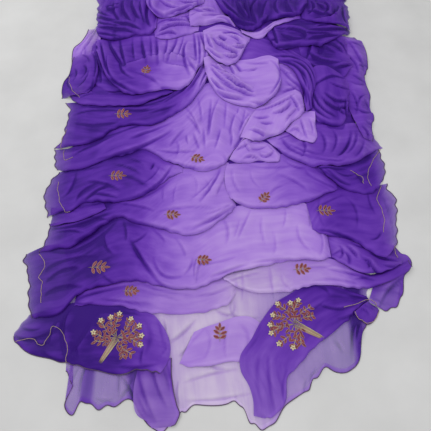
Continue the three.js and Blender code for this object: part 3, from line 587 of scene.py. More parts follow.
# The right corner of the pallu end, drawn up across the hem. Georgette, deep purple at its top. It
# is laid slantwise on the hem, so that the tree shows and its lower end reaches the floor.
lay(
    "corner_right", rise=7, gathers=(40, 2.0, 15),
    shades=[(0, 0.62, 0.8), (0.3, 0.7, 0.9), (0.6, 0.86, 0.97), (1, 0.97, 0.98)],
    sections=[
        (98, -586, 128, -593), (98, -548, 156, -581), (88, -512, 184, -545), (68, -475, 192, -495),
        (68, -435, 226, -461), (100, -390, 266, -416), (128, -342, 298, -393), (170, -290, 339, -365),
        (215, -262, 372, -342), (265, -232, 388, -322), (313, -230, 410, -305), (365, -243, 428, -290),
        (438, -268, 445, -279),
    ],
    creases=[
        (14, 4, 150, -436, 148, -505, 160, -582), (12, 4, 66, -456, 84, -520, 102, -582),
        (12, 4, 198, -470, 182, -520, 186, -560), (14, 5, 250, -240, 300, -228, 336, -262),
        (12, 5, 300, -290, 348, -302, 400, -290), (12, 4, 132, -350, 112, -400, 74, -446),
        (12, 3, 250, -330, 280, -300, 330, -270), (14, -3, 120, -440, 110, -500, 124, -570),
        (12, 4, 380, -262, 420, -270, 452, -268), (12, 4, 340, -330, 380, -322, 400, -300),
        (10, 3, 170, -300, 210, -262, 250, -244),
    ],
    rests_on=("hem_sheet_cloth",),
)


# A small turned-up point of the selvedge beside the right corner. Georgette, deep purple. Its cut
# edge is overlocked. It rests on the hem and isn't fastened.
lay(
    "tri_right", rise=4, gathers=(20, 1.5, 16),
    shades=[(0, 0.9, 0.95), (1, 0.85, 0.92)],
    sections=[
        (391, -319, 404, -334), (405, -307, 428, -346), (422, -294, 452, -334), (440, -283, 466, -306),
    ],
    creases=[
        (10, 4, 405, -300, 430, -310, 440, -330), (8, 3, 420, -290, 445, -300, 460, -306),
    ],
    rests_on=("hem_sheet_cloth",),
)


# A sheer wing of the right selvedge that lies out on the floor in one or two layers. It is
# georgette with an overlocked edge, spread by hand and left to ruffle.
lay(
    "side_right_low", rise=5, gathers=(32, 2.5, 17),
    shades=[(0, 0.84, 0.9), (0.5, 0.74, 0.8), (1, 0.72, 0.78)],
    sections=[
        (470, -90, 549, -100), (480, -120, 572, -128), (490, -150, 592, -158), (485, -180, 580, -188),
        (475, -205, 560, -212), (465, -230, 548, -245), (455, -255, 528, -280), (445, -275, 495, -306),
        (440, -290, 464, -304),
    ],
    creases=[
        (14, 7, 462, -302, 502, -244, 562, -200), (12, 5, 500, -200, 545, -190, 588, -170),
        (10, 4, 480, -250, 520, -235, 560, -215), (10, 4, 455, -270, 470, -280, 490, -292),
        (10, 3, 520, -280, 535, -250, 545, -230), (10, 4, 440, -225, 475, -232, 500, -226),
    ],
    across_gathers=True, sheer_edge=70, rests_on=("floor",),
)


# The lowest strip at the left, between two folds of the cloth. Georgette fading to lavender. Its
# lower edge is a soft fold, and its upper edge is tucked under the swag above.
lay(
    "swag_low_left", rise=8, gathers=(26, 2.2, 18),
    shades=[
        (0, 0.9, 0.97), (0.25, 0.7, 0.92), (0.5, 0.5, 0.88), (0.75, 0.4, 0.84), (0.88, 0.28, 0.78),
        (1, 0.12, 0.6),
    ],
    sections=[
        (-405, -245, -404, -296), (-360, -230, -358, -296), (-310, -215, -300, -297),
        (-250, -200, -258, -298), (-200, -203, -212, -314), (-150, -215, -165, -322),
        (-110, -222, -110, -320), (-60, -220, -50, -318), (0, -205, 0, -308), (35, -195, 38, -292),
        (55, -188, 60, -255),
    ],
    creases=[
        (12, 5, -402, -275, -330, -252, -215, -226), (12, 4, -210, -225, -150, -250, -60, -262),
        (10, 4, -330, -275, -260, -282, -180, -290), (10, 4, -60, -262, 0, -256, 60, -226),
        (12, 3, -240, -240, -160, -262, -90, -280), (8, 4, -405, -282, -380, -290, -350, -285),
    ],
)


# The lowest strip at the right, palest in the middle of the cloth. Georgette, one fold deep. Its
# lower edge is a soft fold, and its ends run out under the neighbours.
lay(
    "swag_low_right", rise=8, gathers=(26, 2.2, 19),
    shades=[
        (0, 0.2, 0.55), (0.06, 0.12, 0.72), (0.2, 0.18, 0.76), (0.3, 0.32, 0.84), (0.45, 0.36, 0.86),
        (0.6, 0.5, 0.92), (0.75, 0.84, 0.96), (1, 0.88, 0.85),
    ],
    sections=[
        (18, -205, 26, -222), (90, -172, 92, -256), (150, -160, 162, -256), (200, -150, 210, -254),
        (250, -145, 244, -248), (290, -145, 285, -238), (330, -148, 328, -232), (370, -160, 370, -240),
        (410, -180, 415, -247), (456, -200, 460, -240), (500, -190, 510, -222), (550, -170, 560, -202),
        (586, -157, 588, -178),
    ],
    creases=[
        (12, 6, 330, -182, 400, -196, 470, -218), (12, 5, 350, -246, 420, -252, 482, -236),
        (10, 4, 402, -216, 430, -210, 456, -206), (10, 4, 60, -200, 64, -240, 76, -280),
        (10, 4, 80, -195, 86, -235, 84, -285), (12, 4, 166, -180, 168, -220, 172, -270),
        (12, 4, 230, -168, 300, -176, 360, -168), (10, 4, 0, -232, 70, -212, 140, -190),
        (10, 3, 90, -250, 130, -262, 165, -256), (12, 4, 280, -220, 350, -215, 420, -230),
        (12, 3, 200, -200, 205, -230, 230, -250),
    ],
)


# A crumpled return of the cloth under the right selvedge. Georgette, folded several times. It is
# pushed together by hand and tucked under the panel above it.
lay(
    "crumple_low_right", rise=8, gathers=(22, 3.5, 20),
    shades=[(0, 0.66, 0.97), (1, 0.88, 0.97)],
    sections=[
        (340, -40, 350, -150), (380, -60, 385, -175), (420, -75, 430, -195), (460, -100, 470, -200),
        (500, -120, 510, -195), (540, -120, 562, -172),
    ],
    creases=[
        (10, 7, 400, -108, 418, -132, 430, -152), (10, 6, 378, -108, 388, -136, 372, -160),
        (10, 7, 450, -158, 470, -186, 482, -204), (12, 7, 468, -128, 505, -148, 552, -158),
        (10, 7, 438, -148, 462, -166, 455, -190), (10, 6, 415, -95, 440, -110, 470, -112),
        (10, -6, 380, -130, 400, -150, 395, -175), (10, 6, 500, -170, 530, -180, 570, -170),
        (8, 5, 345, -140, 365, -132, 385, -120),
    ],
    folded=1.2,
)


# The broadest swag, drawn right across the heap from selvedge to selvedge. Georgette, dyed deep
# purple at the left and palest right of the middle. Its upper edge is tucked under the next swags,
# and its lower edge is a loose fold.
lay(
    "swag_h", rise=12, gathers=(30, 2.8, 21),
    shades=[
        (0, 0.92, 0.85), (0.25, 0.98, 1), (0.38, 0.84, 1), (0.48, 0.6, 0.98), (0.62, 0.42, 0.95),
        (0.8, 0.32, 0.95), (0.92, 0.38, 0.96), (1, 0.5, 0.96),
    ],
    sections=[
        (-578, -134, -520, -333, -556, -222), (-520, -105, -492, -328), (-440, -95, -440, -317),
        (-400, -70, -408, -276), (-360, -42, -360, -247), (-315, -18, -315, -237), (-260, -10, -268, -229),
        (-210, -22, -215, -224), (-160, -36, -165, -240), (-110, -48, -112, -251), (-60, -38, -57, -245),
        (0, 5, 0, -222), (60, 25, 62, -198), (120, 35, 122, -181), (190, 40, 192, -165),
        (250, 50, 252, -160), (300, 30, 305, -158), (340, 0, 347, -147),
    ],
    creases=[
        (18, 9, -252, -92, -214, -155, -168, -216), (14, 6, -182, -198, -130, -246, -48, -240),
        (10, 5, -52, -152, -58, -185, -56, -222), (14, 7, -505, -118, -405, -112, -312, -20),
        (16, 5, -512, -190, -452, -152, -350, -146), (12, 5, -285, -22, -272, -62, -268, -100),
        (12, 5, -190, -55, -165, -76, -148, -102), (12, 5, 118, 14, 98, -31, 72, -98),
        (10, 4, 226, 20, 222, -20, 212, -55), (16, 5, 28, -15, 44, -60, 38, -112),
        (12, 4, 150, -10, 146, -60, 156, -110), (14, 4, 66, -156, 0, -176, -60, -182),
        (12, 5, 100, -168, 200, -156, 318, -162), (14, 5, -180, -150, -150, -205, -98, -206),
        (12, 4, -98, -206, -78, -180, -74, -150), (12, 5, -20, -210, 40, -190, 100, -168),
        (14, 5, -505, -230, -460, -190, -400, -180), (12, 4, -340, -60, -330, -110, -300, -140),
        (12, 4, -330, -200, -280, -235, -200, -240), (10, 4, 290, 20, 300, -20, 296, -50),
        (12, 4, 260, -40, 262, -90, 290, -130), (12, 3, 180, -60, 186, -110, 176, -150),
        (12, 4, -120, -80, -96, -120, -84, -150), (10, 3, 80, -20, 70, -60, 60, -90),
        (12, 4, -60, -236, -56, -190, -40, -160), (14, 5, -500, -270, -455, -240, -380, -240),
        (12, 5, -260, -100, -236, -90, -212, -60), (10, 4, 320, -60, 330, -100, 316, -150),
    ],
)


# The flat panel at the right edge, its selvedge showing. Georgette, deep purple. It is pulled
# smooth and folded under at its lower edge, with no seam.
lay(
    "panel_right", rise=9, gathers=(42, 2.0, 22),
    shades=[(0, 0.74, 1), (0.3, 0.86, 1), (0.85, 0.84, 1), (1, 0.72, 0.8)],
    sections=[
        (290, 40, 300, -60), (330, 85, 334, -76), (370, 105, 375, -82), (410, 110, 410, -95),
        (450, 108, 440, -110), (490, 102, 478, -138), (530, 110, 510, -152),
        (562, 120, 547, -115, 582, 15),
    ],
    creases=[
        (14, 7, 308, -58, 378, -72, 452, -106), (12, 4, 532, 100, 558, 10, 552, -100),
        (12, 4, 316, 20, 360, 46, 410, 70), (12, 3, 340, 60, 330, 0, 340, -50),
        (12, 5, 520, -60, 500, -90, 470, -100), (12, 4, 505, 95, 500, 50, 512, 0),
        (10, 4, 545, -60, 560, -100, 560, -140), (12, 3, 420, 60, 450, 10, 440, -60),
        (10, 5, 330, -75, 360, -88, 400, -100),
    ],
)


# The swag above, pulled up to the middle. Georgette, deep purple fading to lavender. Its upper edge
# is tucked under, and its lower edge is a loose fold with a sprig above it.
lay(
    "swag_g", rise=13, gathers=(30, 2.8, 23),
    shades=[
        (0, 0.92, 0.9), (0.28, 0.95, 1), (0.45, 0.8, 1), (0.6, 0.58, 1), (0.75, 0.46, 0.98),
        (1, 0.42, 0.96),
    ],
    sections=[
        (-523, -30, -530, -128), (-480, -20, -480, -118), (-440, -5, -440, -117), (-390, 15, -400, -88),
        (-345, 40, -352, -42), (-300, 60, -304, -12), (-260, 75, -267, -31), (-215, 100, -220, -43),
        (-170, 135, -176, -51), (-125, 168, -125, -70), (-80, 180, -74, -81), (-35, 182, -30, -60),
        (0, 190, 10, -28), (28, 195, 45, -1), (44, 192, 66, 24),
    ],
    creases=[
        (14, 4, -188, 4, -100, 23, 2, 18), (16, 9, 24, 172, -2, 100, -48, 30),
        (10, 3, -165, 98, -166, 70, -162, 38), (14, 8, -78, -56, -5, -18, 62, 30),
        (14, 7, -432, -98, -368, -64, -308, -14), (14, 6, -525, -42, -430, -38, -330, 6),
        (12, 4, -310, 40, -230, 22, -190, 6), (10, 3, -90, 150, -60, 120, -60, 60),
        (10, 3, -120, 110, -130, 70, -128, 35), (12, 5, 10, 150, -30, 90, -80, 40),
        (12, 4, -40, -2, 10, 8, 50, 34), (12, 5, -280, -18, -200, -44, -100, -66),
        (12, 4, -400, -10, -330, -22, -250, -22), (10, 4, -500, -60, -440, -60, -400, -72),
        (10, 3, 0, 60, 10, 90, 30, 130), (12, 4, -250, 60, -200, 82, -140, 140),
        (12, 3, -40, 130, -20, 110, -10, 60),
    ],
)


# A narrow return fold between two swags at the left. Georgette, deep purple. It is the same cloth
# turned back on itself, and its ends are tucked in.
lay(
    "fold_left_b", rise=6, gathers=(20, 2.0, 24),
    shades=[(0, 0.92, 0.95), (1, 0.88, 1)],
    sections=[
        (-532, 30, -518, -40), (-480, 25, -470, -38), (-440, 25, -430, -32), (-400, 35, -395, -18),
        (-360, 45, -345, 12),
    ],
    creases=[
        (10, 4, -520, 0, -480, 12, -430, 10), (10, 4, -500, 60, -470, 40, -440, 20),
        (8, 4, -530, 40, -520, 0, -528, -40), (8, 4, -490, 90, -480, 60, -468, 20),
    ],
)


# The dark swag at the left with its selvedge turned in. Georgette, deep purple. It is drawn up to
# the right, where its gathers run together, and is tucked under there.
lay(
    "swag_f", rise=11, gathers=(34, 2.6, 25),
    shades=[(0, 0.88, 0.85), (0.12, 0.94, 1), (0.6, 0.9, 1), (0.82, 0.74, 1), (1, 0.52, 1)],
    sections=[
        (-530, 165, -534, -8, -553, 80), (-500, 175, -490, 5), (-460, 180, -458, 8), (-420, 195, -425, 38),
        (-380, 212, -385, 43), (-340, 225, -340, 36), (-295, 235, -295, 38), (-250, 245, -250, 55),
        (-210, 235, -212, 75), (-175, 210, -180, 100), (-140, 195, -145, 135), (-108, 180, -110, 154),
    ],
    creases=[
        (14, 7, -422, 48, -386, 80, -345, 106), (12, 6, -392, 72, -350, 66, -308, 54),
        (12, 6, -252, 60, -190, 105, -146, 182), (8, -6, -204, 192, -209, 176, -216, 158),
        (10, 4, -522, 172, -440, 170, -372, 186), (12, 4, -500, 60, -470, 100, -470, 160),
        (14, 5, -420, 120, -360, 110, -300, 80), (12, 4, -340, 190, -280, 170, -240, 140),
        (12, 5, -300, 48, -200, 76, -118, 130), (12, 4, -180, 178, -200, 130, -240, 96),
        (12, 4, -450, 40, -430, 80, -380, 120), (12, 3, -300, 210, -260, 200, -230, 170),
        (14, -4, -330, 150, -260, 120, -220, 90),
    ],
)


# The swag right of the middle that carries the cloth from light to dark. Georgette. Its lower edge
# is one long soft fold, and its upper edge is tucked under the crumples.
lay(
    "swag_i", rise=12, gathers=(28, 2.8, 26),
    shades=[(0, 0.42, 0.96), (0.35, 0.5, 0.98), (0.6, 0.62, 1), (1, 0.82, 1)],
    sections=[
        (40, 186, 50, 44, 30, 112), (75, 190, 82, 28), (120, 193, 127, 19), (165, 194, 177, 17),
        (215, 224, 222, 20), (262, 232, 269, 35), (305, 228, 306, 46), (350, 205, 352, 66),
        (400, 160, 396, 84),
    ],
    creases=[
        (12, 6, 24, 192, 26, 110, 46, 44), (12, 4, 66, 30, 140, 20, 250, 26),
        (12, 4, 60, 165, 62, 110, 84, 70), (14, 5, 100, 190, 180, 176, 250, 182),
        (12, 5, 232, 205, 262, 178, 300, 172), (12, 5, 330, 182, 372, 140, 432, 114),
        (12, 6, 400, 104, 450, 86, 505, 92), (12, 4, 240, 36, 330, 56, 412, 78),
        (14, 4, 200, 150, 260, 120, 300, 80), (10, 4, 90, 200, 120, 196, 150, 206),
        (12, 4, 300, 160, 340, 120, 400, 92), (10, 3, 120, 160, 124, 120, 150, 90),
        (12, 4, 440, 130, 470, 120, 490, 130), (12, 3, 170, 60, 190, 90, 240, 110),
    ],
)


# The dark fold under the right side's deep curve, its selvedge turned over. Georgette. It is the
# cloth's return below the swag above, laid flat and tucked under it.
lay(
    "fold_k2", rise=9, gathers=(24, 2.6, 27),
    shades=[(0, 0.86, 1), (0.8, 0.94, 1), (1, 0.84, 0.85)],
    sections=[
        (325, 196, 345, 158), (360, 200, 371, 127), (400, 200, 405, 102), (440, 205, 440, 80),
        (475, 218, 472, 72), (510, 235, 505, 74), (540, 255, 532, 98), (568, 262, 554, 128, 571, 195),
    ],
    creases=[
        (12, 6, 300, 188, 350, 166, 442, 170), (12, 6, 362, 164, 400, 122, 442, 106),
        (10, 5, 460, 160, 480, 130, 486, 106), (10, 4, 400, 150, 430, 140, 460, 150),
        (10, 4, 340, 150, 370, 140, 400, 110),
    ],
)


# The fan: many gathers that spread from the crumpled middle down to a broad swag. Georgette,
# lavender in the fan and deep purple out to the left selvedge. The gathers are only pushed
# together, and the lower edge is a loose fold.
lay(
    "swag_e", rise=13, gathers=(30, 4.0, 28),
    shades=[
        (0, 0.88, 0.88), (0.15, 0.9, 1), (0.35, 0.76, 1), (0.48, 0.6, 1), (0.6, 0.5, 1), (0.8, 0.46, 1),
        (1, 0.45, 1),
    ],
    sections=[
        (-562, 258, -532, 172), (-500, 264, -488, 166), (-450, 268, -440, 171), (-400, 290, -398, 185),
        (-360, 322, -352, 209), (-315, 342, -308, 221), (-265, 348, -270, 238), (-225, 352, -240, 244),
        (-185, 370, -205, 222), (-150, 395, -165, 198), (-115, 420, -128, 182), (-85, 455, -92, 167),
        (-60, 500, -58, 156), (-38, 540, -20, 158), (0, 545, 10, 174), (45, 520, 40, 196),
        (90, 490, 66, 238), (125, 450, 99, 272), (168, 430, 118, 284),
    ],
    creases=[
        (16, 8, -432, 274, -300, 341, -130, 412), (14, 7, -402, 204, -262, 250, -150, 330),
        (14, 6, -484, 226, -420, 268, -332, 318), (12, 6, -104, 402, -66, 345, -46, 298),
        (14, 7, -10, 470, -14, 380, -20, 290), (14, 7, 20, 470, -6, 385, -16, 290),
        (10, 5, 86, 428, 84, 408, 80, 392), (12, 6, 76, 396, 62, 350, 54, 296),
        (16, 9, 150, 376, 112, 312, 68, 238), (10, 6, -96, 302, -95, 282, -88, 260),
        (12, 6, -72, 312, -62, 276, -48, 240), (12, 6, 22, 330, 14, 285, 0, 238),
        (12, 6, 52, 330, 60, 292, 56, 250), (12, 7, 102, 292, 84, 262, 60, 234),
        (10, 6, -120, 450, -84, 400, -60, 330), (12, 5, 44, 455, 40, 400, 36, 330),
        (10, 5, 110, 420, 104, 380, 92, 330), (12, 6, 130, 400, 100, 350, 84, 300),
        (12, 5, -60, 480, -50, 420, -44, 360), (12, 5, -36, 330, -34, 285, -30, 240),
        (14, 6, -300, 290, -230, 320, -150, 370), (12, 5, -200, 240, -130, 230, -60, 240),
        (14, 5, -560, 290, -500, 340, -440, 372), (14, 5, -480, 330, -400, 360, -290, 378),
        (12, 5, -140, 190, -60, 168, 10, 176), (12, 4, -160, 250, -140, 290, -110, 330),
        (12, 5, 30, 220, 40, 190, 30, 175), (10, 5, -190, 410, -150, 440, -120, 480),
        (12, 5, -540, 240, -530, 290, -540, 340), (12, 4, -130, 280, -120, 240, -130, 205),
    ],
)


# A small crumpled lump of light cloth below the fan's right end. Georgette. It is the end of a fold
# that was pushed together by hand and tucked in on three sides.
lay(
    "crumple_j", rise=9, gathers=(18, 3.5, 29),
    shades=[(0, 0.42, 1), (1, 0.4, 1)],
    sections=[
        (60, 230, 46, 198), (85, 262, 80, 192), (115, 280, 110, 190), (150, 283, 145, 200),
        (185, 268, 178, 189), (205, 245, 205, 192), (220, 225, 215, 200),
    ],
    creases=[
        (9, 6, 100, 290, 130, 272, 168, 286), (9, 7, 66, 238, 90, 248, 112, 262),
        (9, 6, 150, 230, 170, 214, 196, 240), (8, 5, 90, 205, 120, 212, 150, 206),
        (8, -5, 120, 240, 150, 244, 180, 262), (8, 5, 180, 270, 192, 250, 206, 232),
        (8, 5, 100, 270, 106, 250, 120, 230),
    ],
    folded=1.5,
)


# The deep curved swag at the right, hung like a U between the middle and the selvedge. Georgette.
# It is in deep purple, drawn up at both ends and tucked under the folds above.
lay(
    "swag_k", rise=12, gathers=(24, 3.4, 30),
    shades=[(0, 0.46, 1), (0.2, 0.62, 1), (0.5, 0.78, 1), (1, 0.76, 0.9)],
    sections=[
        (200, 300, 174, 288), (225, 312, 208, 247), (255, 325, 240, 214), (290, 345, 283, 187),
        (330, 352, 325, 172), (370, 352, 370, 169), (410, 348, 415, 170), (450, 355, 455, 187),
        (495, 368, 493, 210), (530, 355, 528, 240), (558, 322, 577, 266),
    ],
    creases=[
        (14, 8, 244, 332, 272, 312, 292, 284), (12, 6, 300, 300, 308, 240, 288, 198),
        (12, -7, 334, 334, 336, 300, 332, 276), (16, 9, 482, 328, 452, 246, 408, 200),
        (12, 6, 428, 180, 500, 202, 562, 232), (14, 7, 214, 244, 262, 204, 310, 182),
        (14, 6, 230, 300, 262, 240, 330, 204), (14, 6, 360, 330, 380, 270, 360, 210),
        (12, 6, 410, 340, 420, 280, 390, 215), (12, 5, 262, 325, 320, 330, 370, 342),
        (14, 6, 500, 330, 480, 260, 440, 210), (12, 5, 210, 285, 240, 300, 270, 318),
        (12, 5, 520, 290, 500, 240, 470, 205), (12, 5, 320, 210, 380, 190, 430, 200),
        (12, 5, 240, 270, 300, 232, 350, 220),
    ],
)


# The right selvedge, ruffled where it lies out beside the heap in few layers. Georgette. Its edge
# is overlocked and ruffles, because the stitching is tighter than the cloth.
lay(
    "side_right_mid", rise=8, gathers=(17, 4.5, 31),
    shades=[(0, 0.68, 0.72), (0.3, 0.72, 0.74), (0.6, 0.78, 0.8), (1, 0.8, 0.85)],
    sections=[
        (470, 815, 558, 818), (475, 780, 586, 782), (480, 740, 596, 741), (480, 700, 594, 690),
        (480, 655, 586, 645), (480, 610, 570, 600), (480, 565, 568, 560), (478, 520, 575, 520),
        (478, 480, 569, 478), (480, 440, 562, 438), (490, 400, 572, 402), (500, 365, 558, 366),
        (505, 330, 549, 320), (510, 300, 543, 278),
    ],
    creases=[
        (12, 6, 560, 500, 535, 478, 520, 440), (10, 5, 500, 520, 518, 460, 506, 400),
        (10, 5, 546, 480, 558, 450, 552, 420), (10, 5, 538, 384, 552, 366, 570, 372),
        (12, 5, 520, 360, 534, 320, 530, 280), (12, 5, 520, 790, 560, 700, 572, 610),
        (10, 5, 520, 770, 560, 768, 588, 752), (12, 5, 500, 720, 540, 660, 545, 600),
        (10, 5, 560, 560, 540, 540, 500, 552), (10, 5, 550, 340, 556, 300, 548, 272),
        (10, 4, 540, 640, 560, 650, 590, 650), (12, 5, 520, 600, 548, 580, 574, 560),
        (10, 5, 500, 440, 530, 420, 560, 424),
    ],
    across_gathers=True, sheer_edge=26, folded=1.2, rests_on=("floor",),
)


# Dark folds pushed together behind the deep curve at the upper right. Georgette, deep purple. They
# are laid by hand and held by the friction of the crepe alone.
lay(
    "dark_back_right", rise=9, gathers=(26, 4.0, 60),
    shades=[(0, 0.9, 1), (0.5, 0.98, 1), (1, 0.86, 1)],
    sections=[
        (320, 770, 340, 590), (365, 790, 385, 560), (415, 800, 435, 552), (465, 800, 482, 575),
        (515, 790, 522, 640),
    ],
    creases=[
        (14, -9, 418, 738, 410, 715, 400, 690), (14, 8, 388, 602, 420, 588, 448, 578),
        (12, 7, 448, 622, 490, 632, 522, 646), (12, 7, 350, 760, 400, 740, 470, 700),
        (12, 7, 360, 700, 400, 660, 480, 650), (12, 7, 420, 780, 470, 740, 500, 700),
        (12, 6, 340, 660, 380, 620, 440, 610), (12, 6, 470, 790, 500, 740, 515, 690),
        (12, 7, 380, 780, 372, 720, 352, 660),
    ],
    folded=1.4,
)


# A dark loop of cloth that hangs from the upper bunch. Georgette in several layers. Its rim is a
# rolled fold, and both of its ends are tucked under the bunch.
lay(
    "dark_loop", rise=11, gathers=(30, 4.0, 32),
    shades=[(0, 0.78, 1), (0.5, 0.88, 1), (1, 0.84, 1)],
    sections=[
        (330, 560, 335, 405), (350, 600, 362, 362), (385, 620, 405, 345), (425, 615, 443, 352),
        (460, 590, 468, 388), (492, 560, 486, 450),
    ],
    creases=[
        (12, 8, 386, 482, 430, 424, 482, 446), (14, 8, 350, 522, 432, 572, 522, 560),
        (12, 8, 482, 474, 470, 400, 500, 352), (12, 7, 360, 500, 380, 430, 430, 385),
        (12, 7, 400, 500, 440, 460, 490, 470), (12, 7, 350, 470, 366, 410, 410, 370),
        (10, 6, 420, 545, 470, 520, 520, 530), (12, 6, 340, 420, 390, 356, 460, 356),
        (10, 6, 510, 482, 530, 500, 560, 500), (10, 6, 440, 440, 450, 410, 470, 400),
    ],
    across_gathers=True, folded=1.2,
)


# A piece of the mid-tone cloth between the twisted middle and the dark stream. Georgette. Its folds
# run down from the bunch, and its edges are tucked under both neighbours.
lay(
    "wedge_mid", rise=8, gathers=(24, 3.0, 35),
    shades=[(0, 0.5, 1), (0.5, 0.56, 1), (1, 0.74, 1)],
    sections=[
        (222, 655, 196, 452), (262, 662, 240, 440), (302, 632, 286, 452), (338, 572, 318, 478),
    ],
    creases=[
        (12, 6, 250, 628, 284, 562, 318, 520), (10, 5, 260, 560, 286, 520, 310, 500),
        (10, 5, 230, 640, 262, 600, 284, 590), (10, 5, 240, 500, 270, 510, 300, 520),
    ],
    folded=1.2,
)


# A light wedge of cloth pulled out between two dark folds. Georgette. It is two layers deep, with a
# pointed end, and is tucked in at its back.
lay(
    "light_wedge", rise=7, gathers=(20, 3.0, 33),
    shades=[(0, 0.42, 1), (1, 0.46, 1)],
    sections=[
        (232, 335, 250, 312), (278, 402, 296, 272), (316, 412, 330, 266), (352, 400, 350, 292),
    ],
    creases=[
        (10, 6, 304, 378, 308, 330, 318, 276), (10, 5, 330, 380, 340, 340, 338, 300),
        (10, 5, 250, 320, 280, 330, 300, 300), (8, 4, 210, 300, 250, 318, 290, 330),
    ],
    folded=1.2,
)


# The light twisted band that climbs to the right of the fan. Georgette, rolled on itself. Its folds
# are twisted together like a loose rope, and it is tucked in at both ends.
lay(
    "light_band", rise=11, gathers=(24, 4.0, 34),
    shades=[(0, 0.4, 1), (1, 0.46, 1)],
    sections=[
        (84, 282, 128, 270), (96, 318, 178, 290), (112, 352, 228, 312), (128, 388, 268, 352),
        (150, 424, 306, 390), (190, 458, 322, 428), (240, 484, 318, 466), (290, 502, 310, 492),
    ],
    creases=[
        (10, -6, 154, 350, 178, 346, 202, 350), (12, 8, 112, 322, 160, 300, 172, 288),
        (12, 8, 200, 398, 240, 410, 266, 452), (10, 7, 130, 420, 200, 430, 286, 482),
        (10, 6, 240, 350, 262, 390, 290, 420), (10, 6, 270, 480, 290, 440, 300, 400),
        (12, -6, 130, 380, 160, 372, 190, 380),
    ],
    folded=1.5,
)


# The dark stream of cloth that curls round the right of the crumpled middle. Georgette. Its many
# long folds are drawn together by hand and tucked in at both ends.
lay(
    "dark_river", rise=10, gathers=(22, 4.0, 36),
    shades=[(0, 0.7, 1), (0.3, 0.84, 1), (1, 0.78, 1)],
    sections=[
        (85, 785, 88, 655), (145, 795, 148, 648), (205, 770, 205, 648), (260, 742, 245, 645),
        (310, 700, 275, 625), (350, 650, 300, 580), (370, 590, 312, 530), (368, 530, 322, 490),
        (350, 470, 318, 440), (345, 420, 322, 405),
    ],
    creases=[
        (12, 8, 228, 656, 310, 612, 346, 482), (12, 8, 260, 652, 340, 600, 362, 470),
        (12, 7, 300, 668, 356, 610, 372, 520), (10, 7, 330, 500, 340, 440, 344, 400),
        (12, 7, 300, 560, 326, 500, 330, 430), (10, 6, 350, 640, 380, 600, 390, 540),
        (10, 6, 210, 680, 280, 672, 330, 650), (10, 6, 320, 590, 330, 540, 336, 500),
        (10, 6, 352, 470, 350, 430, 346, 390),
    ],
    folded=1.2,
)


# The dark swag at the upper left; its right end is drawn up into a rope. Georgette. Its lower edge
# is a loose fold, and its left end is the overlocked selvedge.
lay(
    "swag_d", rise=13, gathers=(32, 3.2, 37),
    shades=[
        (0, 0.88, 0.9), (0.2, 0.95, 1), (0.52, 0.9, 1), (0.68, 0.68, 1), (0.84, 0.5, 1), (1, 0.44, 1),
    ],
    sections=[
        (-548, 470, -557, 262, -527, 368), (-505, 472, -510, 262), (-450, 458, -450, 267),
        (-400, 450, -402, 288), (-350, 448, -358, 328), (-300, 452, -310, 345), (-250, 465, -255, 348),
        (-205, 482, -215, 350), (-165, 503, -172, 375), (-130, 532, -132, 405), (-100, 565, -98, 437),
        (-78, 600, -75, 475), (-60, 645, -55, 508), (-48, 690, -36, 548), (-40, 740, -20, 595),
        (-32, 775, -14, 645),
    ],
    creases=[
        (16, 8, -482, 452, -400, 438, -200, 446), (14, 6, -440, 522, -360, 488, -290, 492),
        (14, 7, -190, 452, -136, 500, -100, 545), (12, 6, -520, 400, -420, 420, -320, 402),
        (12, 6, -250, 440, -180, 470, -120, 530), (12, 7, -150, 480, -100, 540, -70, 600),
        (12, 6, -110, 500, -70, 570, -50, 640), (12, 6, -86, 545, -50, 620, -30, 680),
        (10, 5, -64, 500, -50, 560, -30, 610), (14, 5, -500, 370, -420, 350, -340, 362),
        (12, 5, -350, 420, -280, 412, -200, 420), (12, 5, -480, 500, -430, 480, -380, 478),
        (12, 5, -300, 470, -230, 470, -170, 490), (10, 5, -44, 480, -40, 540, -20, 590),
        (12, 4, -240, 400, -180, 420, -140, 440),
    ],
)


# A narrow return fold at the upper left, its selvedge showing. Georgette, deep purple. It is the
# cloth turned back under the swag above and left loose.
lay(
    "fold_left_a", rise=8, gathers=(22, 2.4, 38),
    shades=[(0, 0.85, 0.93), (1, 0.9, 1)],
    sections=[
        (-570, 560, -545, 500), (-530, 530, -500, 455), (-460, 510, -445, 441), (-400, 500, -376, 432),
        (-340, 495, -313, 429), (-290, 500, -262, 440), (-235, 515, -212, 467), (-175, 525, -152, 492),
    ],
    creases=[
        (10, 5, -500, 480, -450, 500, -380, 508), (10, 5, -550, 520, -520, 500, -490, 492),
        (8, 4, -560, 500, -548, 520, -520, 540), (8, 5, -420, 500, -340, 500, -300, 494),
    ],
)


# The left selvedge, lying out beside the heap in one sheer layer or two. Georgette. Its edge is
# overlocked with brown thread. It is spread by hand, not fixed.
lay(
    "side_left_sheer", rise=5, gathers=(22, 4.0, 39),
    shades=[(0, 0.34, 0.6), (0.5, 0.44, 0.66), (1, 0.6, 0.75)],
    sections=[
        (-516, 865, -470, 870), (-528, 823, -460, 830), (-541, 790, -455, 790), (-564, 757, -450, 750),
        (-564, 710, -450, 710), (-556, 655, -450, 660), (-556, 603, -450, 610),
    ],
    creases=[
        (12, 6, -540, 690, -508, 780, -478, 862), (10, 5, -562, 720, -538, 780, -500, 820),
        (10, 4, -555, 660, -530, 680, -500, 676), (10, 5, -520, 640, -510, 690, -520, 740),
        (10, 4, -556, 620, -530, 640, -500, 640), (8, 4, -500, 880, -490, 840, -500, 800),
        (10, 5, -530, 800, -505, 830, -490, 880),
    ],
    across_gathers=True, sheer_edge=45, folded=1.3, rests_on=("floor",),
)


